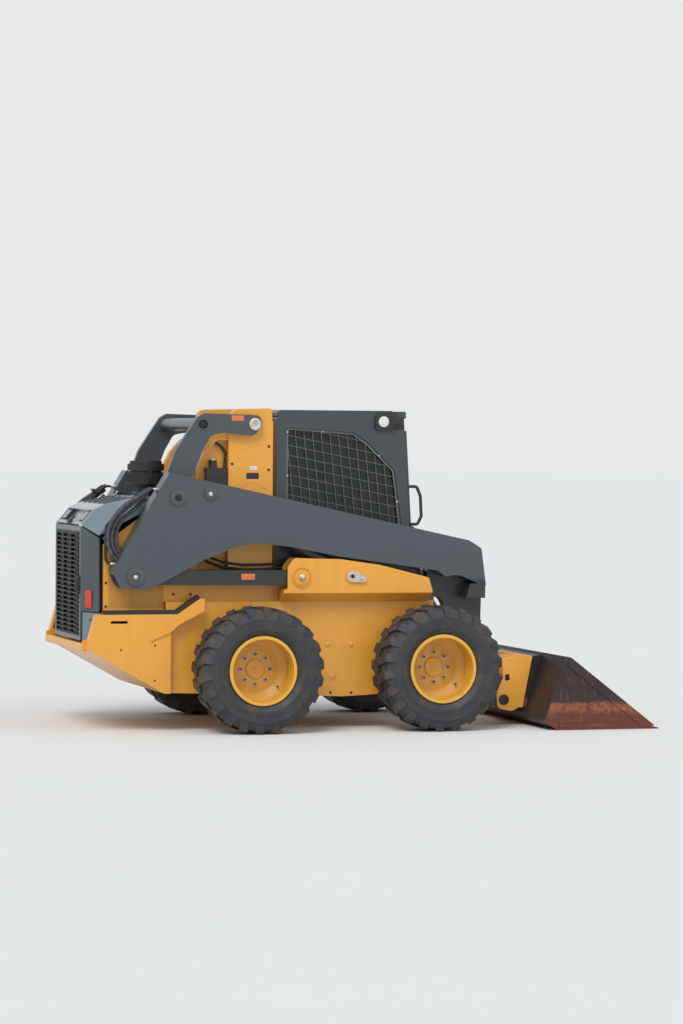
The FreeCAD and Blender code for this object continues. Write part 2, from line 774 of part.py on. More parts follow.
def rear_door():
    """The swinging rear door: a rear wall with the grille, and bevelled sides above the corner blocks."""
    wall = body("rear_door_body")
    pad(wall, "XY", (
        ("door_rear_x", "-1*door_y", 12),
        ("door_side_x", "-1*door_side_y", 0),
        ("door_side_x + 12", "7 - door_side_y", 0),
        ("door_rear_x + 20", "12 - door_y", 8),
        ("door_rear_x + 20", "door_y - 12", 8),
        ("door_side_x + 12", "door_side_y - 7", 0),
        ("door_side_x", "door_side_y", 0),
        ("door_rear_x", "door_y", 12),
    ), "612", "door_top_z")
    for side in ("", "-1*"):
        pocket(wall, "YZ", (
            (f"{side}door_y + {side}2", "600", 0),
            (f"{side}door_side_y + {side}20", "600", 0),
            (f"{side}door_side_y + {side}20", "812", 0),
            (f"{side}door_y + {side}2", "812", 0),
        ), "door_rear_x - 5", "door_side_x + 30")
        pocket(wall, "YZ", (
            (f"{side}door_y", "door_top_z", 0),
            (f"{side}door_side_y + {side}20", "1298", 0),
            (f"{side}door_side_y + {side}20", "door_top_z + 10", 0),
            (f"{side}door_y", "door_top_z + 10", 0),
        ), "door_rear_x - 5", "door_side_x + 30")
    opening = (
        ("-340", "655", 20),
        ("340", "655", 20),
        ("340", "1340", 20),
        ("-340", "1340", 20),
    )
    pocket(wall, "YZ", opening, "door_rear_x - 5", "door_rear_x + 30")
    knuckle = rod("door_knuckle", "z", ("door_hinge_x", "door_hinge_y", "813"), "18", "45")
    knuckle_bore = rod("door_knuckle_bore", "z", ("door_hinge_x", "door_hinge_y", "805"),
                       "hinge_pin_radius + running_gap", "60")
    node(cut("rear_door_frame", fuse("rear_door_solid", [wall, knuckle]), [knuckle_bore]), "rear_door_frame")
    inside = (
        ("seat_gap - 340", "655 + seat_gap", 20),
        ("340 - seat_gap", "655 + seat_gap", 20),
        ("340 - seat_gap", "1340 - seat_gap", 20),
        ("seat_gap - 340", "1340 - seat_gap", 20),
    )
    outline = plate("grille_outline", inside, "door_rear_x - 14", "door_rear_x + 16", plane="YZ")
    bars = [box("grille_screen", ("door_rear_x + 12", "door_rear_x + 16"), ("-350", "350"), ("650", "1350"))]
    for name, span in (
        ("edge_left", ("326", "350")),
        ("divider_left", ("109", "119")),
        ("divider_right", ("-119", "-109")),
        ("edge_right", ("-350", "-326")),
    ):
        bars.append(box("grille_" + name, ("door_rear_x - 6", "door_rear_x + 14"), span, ("650", "1350")))
    slats = 22
    pitch = 31
    for i in range(slats + 1):
        low = 650 + i * pitch
        bars.append(box("grille_slat", ("door_rear_x - 14", "door_rear_x + 14"), ("-350", "350"),
                        (str(low), str(low + 8))))
    node(common("rear_grille", [fuse("grille_bars", bars), outline]), "rear_grille")
    corner = plate("corner_block", (
        ("door_rear_x + 8", "door_y + 13", 6),
        ("door_side_x", "door_side_y", 0),
        ("door_side_x + 19", "chassis_y - seat_gap", 0),
        ("door_side_x + 28", "chassis_y - seat_gap", 0),
        ("door_side_x + 28", "door_y + 13", 0),
    ), "612", "805", plane="XY")
    bolt_seat = []
    for name, up in (("upper", "753"), ("lower", "641")):
        hole = rod("corner_hole_" + name, "x", ("door_rear_x", "496", up), "13", "58")
        bolt_seat.append(hole)
    shelf = plate("hinge_shelf", (
        ("door_hinge_x - 16", "520", 0),
        ("door_hinge_x - 16", "585", 6),
        ("door_hinge_x + 15", "chassis_y - seat_gap", 0),
        ("door_hinge_x + 32", "chassis_y - seat_gap", 0),
        ("door_hinge_x + 32", "520", 0),
    ), "799", "805", plane="XY")
    pin = rod("door_hinge_pin", "z", ("door_hinge_x", "door_hinge_y", "800"), "hinge_pin_radius", "55")
    plain = cut("corner_solid", corner, bolt_seat)
    node(group("rear_shell", [fuse("corner_with_hinge", [plain, shelf, pin]), mirrored(plain)]), "rear_shell")


def cab():
    """The hollow cab, its roof, windows, guards, floor, seat, controls and lamps."""
    shell = body("cab_shell")
    pad(shell, "XZ", (
        ("189", "deck_z + seat_gap", 0),
        ("189", "2150", 20),
        ("1105", "2150", 20),
        ("1150", "1404", 60),
        ("1256", "deck_z + seat_gap", 0),
    ), "-1*cab_y", "cab_y")
    pocket(shell, "XZ", (
        ("189 + cab_wall", "deck_z - 50", 0),
        ("189 + cab_wall", "2150 - cab_wall", 20),
        ("1105 - cab_wall", "2150 - cab_wall", 20),
        ("1150 - cab_wall", "1404", 60),
        ("1262 - cab_wall", "deck_z - 50", 0),
    ), "cab_wall - cab_y", "cab_y - cab_wall")
    pocket(shell, "XZ", (
        ("258", "2074", 30),
        ("741", "2040", 30),
        ("851", "1966", 30),
        ("1041", "1779", 60),
        ("1090", "1419", 60),
        ("1100", "1250", 30),
        ("258", "1250", 30),
    ), "-1*cab_y - 5", "cab_y + 5")
    pocket(shell, "YZ", (
        ("-400", "deck_z - 20", 0),
        ("400", "deck_z - 20", 0),
        ("400", "2060", 40),
        ("-400", "2060", 40),
    ), "1000", "1300")
    pocket(shell, "YZ", (
        ("-380", "1720", 40),
        ("380", "1720", 40),
        ("380", "2060", 40),
        ("-380", "2060", 40),
    ), "150", "300")
    brackets = []
    for name, foot, _ in CAB_HINGES:
        brackets.append(plate(name + "_bracket", (
            ("1120", "cab_hinge_y - 16", 0),
            ("cab_hinge_x + 16", "cab_hinge_y - 16", 15),
            ("cab_hinge_x + 16", "cab_hinge_y + 16", 15),
            ("1120", "cab_hinge_y + 16", 0),
        ), foot, f"{foot} + 8", plane="XY"))
        brackets.append(rod(name + "_pin", "z", ("cab_hinge_x", "cab_hinge_y", f"{foot} + 2"), "hinge_pin_radius", "46"))
    node(fuse("cab_frame", [shell] + brackets), "cab_frame")
    roof = plate("roof_panel", (
        ("189", "2150 + seat_gap", 0),
        ("189", "2188", 20),
        ("1120", "2188", 12),
        ("1120", "2140", 6),
        ("1109", "2140", 0),
        ("1109", "2150 + seat_gap", 0),
    ), "-1*cab_y", "cab_y")
    node(group("cab_roof", [roof]), "cab_roof")
    pane = plate("side_pane", (
        ("240", "1232", 0),
        ("240", "2090", 0),
        ("760", "2056", 0),
        ("870", "1980", 0),
        ("1056", "1790", 0),
        ("1106", "1419", 0),
        ("1112", "1232", 0),
    ), "cab_y - cab_wall - 7", "cab_y - cab_wall")
    rear_pane = box("rear_pane", ("189 + cab_wall", "189 + cab_wall + 6"), ("-395", "395"), ("1705", "2075"))
    node(group("cab_glass", [pane, mirrored(pane), rear_pane]), "cab_glass")
    guard_rows = (
        ("260.5", "1252.5", 28),
        ("260.5", "2071", 28),
        ("741", "2037", 28),
        ("849", "1963", 28),
        ("1038", "1778", 58),
        ("1087.3", "1419", 58),
        ("1097", "1252.5", 28),
    )
    outline = plate("guard_outline", guard_rows, "cab_y - 20", "cab_y - 12")
    rim = plate("guard_rim", guard_rows, "cab_y - 20", "cab_y - 12")
    pocket(rim, "XZ", (
        ("272", "1264", 20),
        ("272", "2058", 20),
        ("737", "2025", 20),
        ("840", "1953", 20),
        ("1027", "1773", 50),
        ("1075", "1419", 50),
        ("1084", "1264", 20),
    ), "cab_y - 21", "cab_y - 11")
    bars = []
    mesh = 110
    for i in range(1, 8):
        near = 258 + i * mesh
        bars.append(box("guard_upright", (str(near), str(near + 5)), ("cab_y - 20", "cab_y - 12"), ("1250", "2080")))
    for i in range(1, 8):
        low = 1250 + i * mesh
        bars.append(box("guard_crossbar", ("255", "1100"), ("cab_y - 20", "cab_y - 12"), (str(low), str(low + 5))))
    lattice = common("guard_lattice", [fuse("guard_bars", bars), outline])
    tabs = []
    for low, high in (("380", "430"), ("900", "950")):
        tabs.append(box("guard_tab", (low, high), ("cab_y - 20", "cab_y - 12"), ("1250 + seat_gap", "1256")))
    node(pair("window_guards", fuse("guard_set", [rim, lattice] + tabs)), "window_guards")
    floor = box("floor_plate", ("189 + cab_wall", "820"), ("-430", "430"), ("deck_z + seat_gap", "deck_z + 20"))
    node(group("cab_floor", [floor]), "cab_floor")
    seat = body("seat_form")
    pad(seat, "XZ", (
        ("330", "deck_z + 120", 30),
        ("300", "1180", 60),
        ("250", "1640", 40),
        ("330", "1660", 40),
        ("410", "1220", 60),
        ("760", "1150", 40),
        ("760", "deck_z + 120", 30),
    ), "-240", "240")
    node(group("operator_seat", [seat]), "operator_seat")
    stand = box("stand", ("380", "720"), ("-200", "200"), ("deck_z + 20", "deck_z + 120"))
    node(group("seat_pedestal", [stand]), "seat_pedestal")
    console = plate("console_block", (
        ("420", "deck_z + 20", 0),
        ("420", "1220", 40),
        ("760", "1220", 60),
        ("810", "deck_z + 20", 0),
    ), "300", "425")
    lever = rod("lever", "z", ("720", "360", "1215"), "14", "130")
    knob = rod("knob", "z", ("720", "360", "1340"), "26", "90")
    node(pair("control_consoles", fuse("console_set", [console, lever, knob])), "control_consoles")
    lamp = plate("lamp_box", (
        ("912", "2060", 30),
        ("912", "2148", 30),
        ("1030", "2148", 30),
        ("1030", "2086", 30),
        ("985", "2060", 20),
    ), "cab_y + seat_gap", "cab_y + 30")
    lens = rod("lamp_lens", "y", ("971", "cab_y + 29", "2107"), "32", "5")
    node(pair("cab_lamps", fuse("lamp_solid", [lamp, lens])), "cab_lamps")


def cab_door():
    """The front door with its curved pane, and the handles beside it."""
    frame = body("door_body")
    pad(frame, "XZ", (
        ("1111.3", "2055", 0),
        ("1150.6", "1404", 60),
        ("1230.4", "1010", 0),
        ("1264", "1010", 10),
        ("1184", "1404", 60),
        ("1145", "2055", 10),
    ), "-405", "405")
    pocket(frame, "YZ", (
        ("-350", "1130", 40),
        ("350", "1130", 40),
        ("350", "2005", 40),
        ("-350", "2005", 40),
    ), "1050", "1400")
    knuckles = []
    bores = []
    for name, foot, leaf_from in CAB_HINGES:
        start = f"{foot} + 8 + seat_gap"
        knuckles.append(rod(name + "_knuckle", "z", ("cab_hinge_x", "cab_hinge_y", start), "16", "42"))
        knuckles.append(box(name + "_leaf", (leaf_from, "cab_hinge_x + 4"), ("398", "cab_hinge_y - 10"),
                            (start, f"{foot} + 50 + seat_gap")))
        bores.append(rod(name + "_bore", "z", ("cab_hinge_x", "cab_hinge_y", f"{foot} - 5"),
                         "hinge_pin_radius + running_gap", "70"))
    node(cut("door_frame", fuse("door_with_knuckles", [frame] + knuckles), bores), "door_frame")
    slab = plate("pane_slab", (
        ("1127.6", "2012", 0),
        ("1164", "1404", 60),
        ("1222.1", "1120", 0),
        ("1228.1", "1120", 0),
        ("1170", "1404", 60),
        ("1133.6", "2012", 0),
    ), "-360", "360")
    outline = plate("pane_outline", (
        ("seat_gap - 350", "1130 + seat_gap", 39.7),
        ("350 - seat_gap", "1130 + seat_gap", 39.7),
        ("350 - seat_gap", "2005 - seat_gap", 39.7),
        ("seat_gap - 350", "2005 - seat_gap", 39.7),
    ), "1050", "1400", plane="YZ")
    node(common("door_glass", [slab, outline]), "door_glass")
    handle = tube_path("grab_bar", (
        ("1135", "cab_y - 18", "1668"),
        ("1208", "cab_y - 18", "1668"),
        ("1236", "cab_y - 18", "1600"),
        ("1243", "cab_y - 18", "1460"),
        ("1216", "cab_y - 18", "1405"),
        ("1153", "cab_y - 18", "1405"),
    ), 24, 11)
    node(pair("grab_handles", handle), "grab_handles")


def wheels():
    """Four lugged tyres and dished rims; the left pair is built once and the right pair mirrors it."""
    wheel_axis = FreeCAD.Vector(0, 1, 0)
    carcass = turned("carcass", (
        ("-136", "rim_seat_radius + seat_gap", 0),
        ("-136", "rim_seat_radius + flange_height + 2", 0),
        ("2 - tyre_width/2", "rim_seat_radius + flange_height + 44", 0),
        ("1 - tyre_width/2", "tyre_radius - 75", 0),
        ("22 - tyre_width/2", "tyre_radius - tread_depth - 14", 0),
        ("62 - tyre_width/2", "tyre_radius - tread_depth", 0),
        ("tyre_width/2 - 62", "tyre_radius - tread_depth", 0),
        ("tyre_width/2 - 22", "tyre_radius - tread_depth - 14", 0),
        ("tyre_width/2 - 1", "tyre_radius - 75", 0),
        ("tyre_width/2 - 2", "rim_seat_radius + flange_height + 44", 0),
        ("136", "rim_seat_radius + flange_height + 2", 0),
        ("136", "rim_seat_radius + seat_gap", 0),
    ))
    lug = plate("lug", (
        ("-12", "tyre_radius - tread_depth - 12", 0),
        ("-12", "tyre_radius - 3", 0),
        ("tyre_width/2 - 32", "tyre_radius - 3", 0),
        ("tyre_width/2 - 19", "tyre_radius - 14", 0),
        ("tyre_width/2 - 10", "tyre_radius - 38", 0),
        ("tyre_width/2 - 4", "tyre_radius - 69", 0),
        ("tyre_width/2 - 60", "tyre_radius - tread_depth - 12", 0),
    ), "-49", "11", plane="YZ")
    slanted = turned_copy("lug_slanted", lug, FreeCAD.Vector(0, 0, 1), -16)
    opposite = mirrored(slanted)
    lugs = []
    lug_count = 22
    for i in range(lug_count):
        angle = 360 / lug_count * i
        lugs.append(turned_copy("lug_outer", slanted, wheel_axis, angle))
        lugs.append(turned_copy("lug_inner", opposite, wheel_axis, angle + 180 / lug_count))
    left_tyre = fuse("tyre_form", [carcass] + lugs)
    rim = turned("rim_form", (
        ("-1*rim_half_width", "rim_seat_radius - 8", 0),
        ("-1*rim_half_width", "rim_seat_radius + flange_height", 3),
        ("12 - rim_half_width", "rim_seat_radius + flange_height", 3),
        ("12 - rim_half_width", "rim_seat_radius", 0),
        ("rim_half_width - 12", "rim_seat_radius", 0),
        ("rim_half_width - 12", "rim_seat_radius + flange_height", 3),
        ("rim_half_width", "rim_seat_radius + flange_height", 3),
        ("rim_half_width", "rim_seat_radius - 8", 0),
    ))
    disc = turned("rim_disc", (
        ("-1*disc_inset", "20", 0),
        ("18 - disc_inset", "20", 0),
        ("18 - disc_inset", "rim_seat_radius - 62", 0),
        ("46 - disc_inset", "rim_seat_radius - 4", 0),
        ("24 - disc_inset", "rim_seat_radius - 4", 0),
        ("-1*disc_inset", "rim_seat_radius - 58", 0),
    ))
    hub = rod("rim_hub", "y", ("0", "-1*disc_inset", "0"), "hub_radius", "28")
    cap = rod("rim_cap", "y", ("0", "-1*disc_inset", "0"), "8", "32")
    pieces = [rim, disc, hub, cap]
    stud = rod("stud", "y", ("stud_circle_radius", "16 - disc_inset", "0"), "11", "16")
    stud_count = 8
    for i in range(stud_count):
        pieces.append(turned_copy("stud_turned", stud, wheel_axis, 360 / stud_count * i))
    left_rim = fuse("rim_whole", pieces)
    right_tyre = mirrored(left_tyre)
    right_rim = mirrored(left_rim)
    for name, tyre, wheel_rim, across, along in (
        ("front_left", left_tyre, left_rim, "wheel_y", "rear_axle_x + wheelbase"),
        ("front_right", right_tyre, right_rim, "-1*wheel_y", "rear_axle_x + wheelbase"),
        ("rear_left", left_tyre, left_rim, "wheel_y", "rear_axle_x"),
        ("rear_right", right_tyre, right_rim, "-1*wheel_y", "rear_axle_x"),
    ):
        node(group(name + "_tyre_solid", [tyre]), name + "_tyre", along, across, "tyre_radius")
        node(group(name + "_rim_solid", [wheel_rim]), name + "_rim", along, across, "tyre_radius")


def axle_housings():
    pieces = []
    for name, along in (("rear", "rear_axle_x"), ("front", "rear_axle_x + wheelbase")):
        shaft = rod(name + "_axle", "y", (along, "chassis_y + seat_gap", "tyre_radius"), "axle_radius",
                    "wheel_y - disc_inset - 2*seat_gap - chassis_y")
        flange = rod(name + "_flange", "y", (along, "chassis_y + seat_gap", "tyre_radius"), "axle_radius + 40", "25")
        whole = fuse(name + "_housing", [shaft, flange])
        pieces += [whole, mirrored(whole)]
    node(group("axle_housings", pieces), "axle_housings")


def upper_link():
    """Both bent plates and the torque tube that joins them behind the cab."""
    arm = plate("link_plate", (
        ("link_foot_x - 92", "link_foot_z + 6", 50),
        ("link_foot_x + 18", "link_top_z - 188", 60),
        ("-400", "link_top_z + 45", 30),
        ("-352", "link_top_z + 73", 30),
        ("link_top_x + 34", "link_top_z + 62", 40),
        ("link_top_x + 58", "link_top_z", 40),
        ("link_top_x - 6", "link_top_z - 78", 40),
        ("-200", "link_top_z - 60", 40),
        ("-300", "link_top_z - 75", 60),
        ("-362", "link_top_z - 185", 60),
        ("link_foot_x + 80", "link_foot_z - 14", 50),
        ("link_foot_x + 5", "link_foot_z - 70", 40),
    ), "link_in_y", "link_out_y", holes=(
        ("link_top_x", "link_top_z", "arm_pin_radius + running_gap"),
        ("link_foot_x", "link_foot_z", "arm_pin_radius + running_gap"),
    ))
    tube = rod("torque_tube", "y", ("-358", "-1*link_out_y - 4", "link_top_z - 3"), "43", "2*link_out_y + 8")
    sockets = []
    for side in ("link_out_y - 26", "-1*link_out_y - 4"):
        sockets.append(rod("tube_socket", "y", ("-358", side, "link_top_z - 3"), "32", "30"))
    whole = fuse("upper_link_solid", [arm, mirrored(arm), tube])
    node(cut("upper_link", whole, sockets), "upper_link")


def control_links():
    bar = plate("control_bar", (
        ("control_rear_x - 62", "control_rear_z - 60", 55),
        ("control_rear_x - 62", "control_rear_z + 60", 55),
        ("control_rear_x + 120", "control_rear_z + 46", 60),
        ("control_front_x - 120", "control_front_z + 46", 60),
        ("control_front_x + 62", "control_front_z + 60", 55),
        ("control_front_x + 62", "control_front_z - 60", 55),
        ("control_front_x - 120", "control_front_z - 55", 60),
        ("control_rear_x + 120", "control_rear_z - 55", 60),
    ), "boom_in_y + boom_plate + 8", "boom_out_y - boom_plate - 8", holes=(
        ("control_front_x", "control_front_z", "arm_pin_radius + running_gap"),
    ))
    node(pair("control_links", bar), "control_links")


def boom():
    """Both arms with their foot pins, the front frame between them and the hoses at their rear."""
    arm = body("boom_arm")
    pad(arm, "XZ", (
        ("-628", "1761", 10),
        ("1510", "1300", 40),
        ("1600", "1245", 40),
        ("1636", "976", 8),
        ("1577", "1001", 0),
        ("1450", "1056", 20),
        ("1395", "1060", 0),
        ("1340", "1048", 20),
        ("1285", "1091", 20),
        ("964", "1137", 60),
        ("576", "1190", 60),
        ("223", "1257", 100),
        ("-6", "1282", 200),
        ("-157", "1258", 150),
        ("-383", "1170", 200),
        ("-682", "1011", 100),
        ("-800", "964", 60),
        ("-965", "982", 50),
        ("-1022", "1095", 30),
    ), "boom_in_y", "boom_out_y")
    pocket(arm, "XZ", (
        ("-1009", "900", 0),
        ("-1009", "1100", 30),
        ("-622", "1747", 10),
        ("1180", "1357", 0),
        ("1180", "900", 0),
    ), "boom_in_y + boom_plate", "boom_out_y - boom_plate")
    pieces = [arm]
    for name, across, up, radius, side, depth in (
        # boss, centre, radius, inner face, depth
        ("foot_boss", "link_foot_x", "link_foot_z", "55", "boom_out_y", "8"),
        ("rod_boss", "rod_eye_x", "rod_eye_z", "41", "boom_out_y", "8"),
        ("control_boss", "control_rear_x", "control_rear_z", "55", "boom_out_y", "8"),
        ("control_boss_inner", "control_rear_x", "control_rear_z", "55", "boom_in_y - 5", "6"),
    ):
        pieces.append(rod(name, "y", (across, side, up), radius, depth))
    pin_hole = rod("foot_pin_hole", "y", ("link_foot_x", "boom_in_y - 10", "link_foot_z"),
                   "arm_pin_radius + seat_gap", "boom_out_y - boom_in_y + 30")
    left = cut("boom_arm_left_solid", fuse("boom_arm_whole", pieces), [pin_hole])
    foot_pin = rod("foot_pin", "y", ("link_foot_x", "link_in_y - 4", "link_foot_z"), "arm_pin_radius",
                   "boom_out_y - link_in_y + 16")
    node(group("boom_arm_left", [left, foot_pin]), "boom_arm_left")
    node(group("boom_arm_right", [mirrored(left), mirrored(foot_pin)]), "boom_arm_right")
    leg = plate("leg_plate", (
        ("1250", "905", 6),
        ("1250", "1180", 40),
        ("1600", "1180", 60),
        ("1650", "976", 20),
        ("1645", "740", 80),
        ("1725", "450", 80),
        ("coupler_pin_x + 70", "coupler_pin_z + 60", 50),
        ("coupler_pin_x + 65", "coupler_pin_z - 65", 50),
        ("coupler_pin_x - 65", "coupler_pin_z - 65", 50),
        ("coupler_pin_x - 100", "coupler_pin_z + 20", 60),
        ("1560", "470", 80),
        ("1420", "740", 80),
        ("1352", "905", 60),
    ), "leg_in_y", "leg_out_y", holes=(
        ("coupler_pin_x", "coupler_pin_z", "cylinder_pin_radius + running_gap"),
    ))
    shoulder = plate("shoulder", (
        ("1490", "900", 0),
        ("1520", "1000", 0),
        ("1577", "1001 - seat_gap", 0),
        ("1629.1", "978.9 - seat_gap", 0),
        ("1629.1", "900", 0),
    ), "leg_out_y - 10", "boom_out_y")
    tube = rod("cross_tube_bar", "y", ("1520", "-1*leg_in_y - 5", "700"), "50", "2*leg_in_y + 10")
    bracket = plate("tilt_bracket", (
        ("1480", "700", 0),
        ("tilt_base_x - 45", "tilt_base_z + 45", 40),
        ("tilt_base_x + 45", "tilt_base_z + 45", 40),
        ("1560", "700", 0),
    ), "tilt_y - 55", "tilt_y - 43")
    pin = rod("tilt_base_pin", "y", ("tilt_base_x", "tilt_y - 50", "tilt_base_z"), "cylinder_pin_radius",
              "leg_in_y - tilt_y + 55")
    half = [leg, shoulder, bracket, pin]
    whole = fuse("boom_front_solid", half + [mirrored(item) for item in half] + [tube])
    node(group("boom_front_frame", [whole]), "boom_front_frame")
    hoses = []
    for i, side in enumerate(("612", "632", "654", "674")):
        out = str(i * 6)
        hoses.append(tube_path("boom_hose", (
            ("-702.3", side, "1644"),
            (f"-770 - {out}", side, "1648"),
            (f"-905 - {out}", side, "1530"),
            (f"-1040 - {out}", side, "1400"),
            (f"-1045 - {out}", side, "1235"),
            (f"-1041 - {out}", side, "1143"),
            ("-998.8", side, "1143"),
        ), 38, 8))
    node(group("boom_hoses", hoses + [mirrored(hose) for hose in hoses]), "boom_hoses")


def cylinder_set(name, base, eye, side, bore, stem, closed, reach, eye_radius, half_width, piston_at):
    """Barrels and rods on both sides, built along Z and turned from the base pin to the rod's eye."""
    gap = "running_gap"
    room_at = "62"
    gland_depth = "32"
    head = rod(name + "_base_eye", "y", ("0", f"-{half_width}", "0"), eye_radius, f"2*{half_width}")
    wall = rod(name + "_wall", "z", ("0", "0", "30"), f"{bore} + 9", f"{reach} - 30")
    room = rod(name + "_room", "z", ("0", "0", room_at), bore, f"{reach} - {room_at} - {gland_depth}")
    gland = rod(name + "_gland", "z", ("0", "0", f"{reach} - 60"), f"{stem} + {gap}", "100")
    base_bore = rod(name + "_base_bore", "y", ("0", "-100", "0"), f"cylinder_pin_radius + {gap}", "200")
    barrel = cut(name + "_barrel", fuse(name + "_barrel_solid", [head, wall]), [room, gland, base_bore])
    piston = rod(name + "_piston", "z", ("0", "0", piston_at), f"{bore} - {gap}", "30")
    bar = rod(name + "_bar", "z", ("0", "0", piston_at), stem, f"{closed} - {piston_at}")
    tip = rod(name + "_rod_eye", "y", ("0", f"-{half_width}", closed), eye_radius, f"2*{half_width}")
    stalk = fuse(name + "_rod", [piston, bar, tip])
    turn = f"atan2({eye}_x - {base}_x; {eye}_z - {base}_z)"
    for label, item in ((name + "_barrels", barrel), (name + "_rods", stalk)):
        placed = []
        for sign in ("", "-1*"):
            copy = turned_copy(label + ("_left" if sign == "" else "_right"), item, FreeCAD.Vector(0, 1, 0), 10)
            bind(copy, "Placement.Rotation.Angle", turn)
            bind(copy, "Placement.Base.x", base + "_x")
            bind(copy, "Placement.Base.y", sign + side)
            bind(copy, "Placement.Base.z", base + "_z")
            placed.append(copy)
        node(group(label, placed), label)


def coupler():
    """The quick-attach frame: four ears on each side, its pins and the sloping face."""
    ears = []
    for name, low in (("inner_left", "tilt_y - 56"), ("inner_right", "tilt_y + 45"),
                      ("outer_in", "leg_in_y - 17"), ("outer_out", "leg_out_y + 5")):
        ears.append(plate(name + "_ear", (
            ("1800", "470", 15),
            ("1925", "490", 15),
            ("2000", "484", 0),
            ("1935", "129", 0),
            ("1877", "100", 20),
            ("coupler_pin_x - 48", "coupler_pin_z - 60", 40),
            ("coupler_pin_x - 53", "coupler_pin_z + 50", 40),
            ("1812", "333", 30),
        ), low, f"{low} + 11"))
    pin = rod("coupler_pin", "y", ("coupler_pin_x", "leg_in_y - 10", "coupler_pin_z"), "cylinder_pin_radius",
              "leg_out_y - leg_in_y + 26")
    face = plate("coupler_face", (
        ("1934", "125", 0),
        ("2000", "484", 0),
        ("2027", "484", 0),
        ("1957", "125", 0),
    ), "-1*leg_out_y - 16", "leg_out_y + 16")
    half = ears + [pin]
    node(fuse("coupler", half + [mirrored(item) for item in half] + [face]), "coupler")


def bucket():
    """The scoop with side cutters and stiffening bars, and its bolt-on edge."""
    scoop = body("scoop")
    pad(scoop, "XZ", (
        ("1958", "56", 40),
        ("2113", "508", 4),
        ("2149", "500", 12),
        ("2770", "22", 0),
        ("2640", "22", 0),
        ("2640", "0", 0),
        ("2055", "0", 60),
    ), "8 - bucket_y", "bucket_y - 8")
    pocket(scoop, "XZ", (
        ("2165", "622", 0),
        ("1980", "82", 40),
        ("2062", "12", 60),
        ("2900", "12", 0),
        ("2900", "622", 0),
    ), "8 + bucket_side - bucket_y", "bucket_y - bucket_side - 8")
    back = plate("bucket_back_plate", (
        ("1958", "125", 0),
        ("2028", "484", 0),
        ("2112", "490", 0),
        ("1988", "125", 0),
    ), "-1*leg_out_y", "leg_out_y")
    cutter = plate("side_cutter", (
        ("2140", "507", 6),
        ("2162", "490", 0),
        ("2770", "22", 0),
        ("2668", "22", 0),
        ("2122", "444", 0),
    ), "bucket_y - 10", "bucket_y")
    foot = plate("side_wear_bar", (
        ("2055", "0", 0),
        ("2640", "0", 0),
        ("2640", "46", 0),
        ("2070", "46", 0),
    ), "bucket_y - 10", "bucket_y")
    half = [cutter, foot]
    whole = fuse("bucket", [scoop, back] + half + [mirrored(item) for item in half])
    node(whole, "bucket")
    edge = plate("edge_bar", (
        ("2640 + seat_gap", "0", 0),
        ("2640 + seat_gap", "22 - seat_gap", 0),
        ("2745", "22 - seat_gap", 0),
        ("2797", "6", 0),
        ("2797", "0", 0),
    ), "-1*bucket_y", "bucket_y")
    node(group("bucket_edge", [edge]), "bucket_edge")


def build():
    fill_sheet()
    main_frame()
    rear_skirt()
    pivot_housings()
    rear_bumper()
    towers()
    engine_parts()
    frame_hoses()
    rear_door()
    cab()
    cab_door()
    wheels()
    axle_housings()
    upper_link()
    control_links()
    boom()
    cylinder_set("lift", "lift_base", "rod_eye", "cylinder_y", "lift_bore_radius",
                 "lift_rod_radius", "1152.72", "1080", "40", "47", "95")
    cylinder_set("tilt", "tilt_base", "tilt_eye", "tilt_y", "tilt_bore_radius",
                 "tilt_rod_radius", "604.65", "470", "42", "30", "142")
    coupler()
    bucket()
    DOC.recompute()


def check():
    """Stop on any failed feature or empty shape before a file is written."""
    for item in DOC.Objects:
        if "Invalid" in item.State or "Error" in item.State:
            raise RuntimeError(f"{item.Name} failed: {item.State}")
    for item in NODES:
        if item.Shape.isNull() or not item.Shape.isValid() or not item.Shape.Solids:
            raise RuntimeError(f"{item.Label} has no valid solid")


def write():
    os.makedirs("parts", exist_ok=True)
    for item in NODES:
        item.Shape.exportStep(f"parts/{item.Label}.step")
        print(item.Label, len(item.Shape.Solids), "solids", round(item.Shape.Volume / 1e6, 2), "litres")


build()
check()
write()
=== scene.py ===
"""Looks of the skid steer loader: paint, rubber, glass and rust, the small pieces, the camera and the light.

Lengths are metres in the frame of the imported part: X forward, Y to the operator's left, Z up from the ground.
"""
import json
import math

import bmesh
import bpy
from mathutils import Matrix, Vector


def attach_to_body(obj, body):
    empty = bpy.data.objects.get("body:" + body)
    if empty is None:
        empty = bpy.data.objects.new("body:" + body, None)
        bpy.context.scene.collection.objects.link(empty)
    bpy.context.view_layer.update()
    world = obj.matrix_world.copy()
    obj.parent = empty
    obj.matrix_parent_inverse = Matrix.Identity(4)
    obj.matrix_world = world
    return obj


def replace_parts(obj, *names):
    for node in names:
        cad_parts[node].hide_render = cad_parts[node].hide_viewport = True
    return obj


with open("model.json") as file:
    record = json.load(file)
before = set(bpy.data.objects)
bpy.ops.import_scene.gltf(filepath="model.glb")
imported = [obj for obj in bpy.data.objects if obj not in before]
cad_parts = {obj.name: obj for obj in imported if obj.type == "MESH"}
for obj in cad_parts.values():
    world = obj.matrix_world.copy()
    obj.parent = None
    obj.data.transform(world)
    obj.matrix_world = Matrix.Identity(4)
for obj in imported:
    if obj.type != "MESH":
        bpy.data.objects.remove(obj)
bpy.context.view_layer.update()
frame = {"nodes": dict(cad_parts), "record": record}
NODES = frame["nodes"]

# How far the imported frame's origin lies ahead of the datum of the CAD source, in millimetres.
DATUM = 798

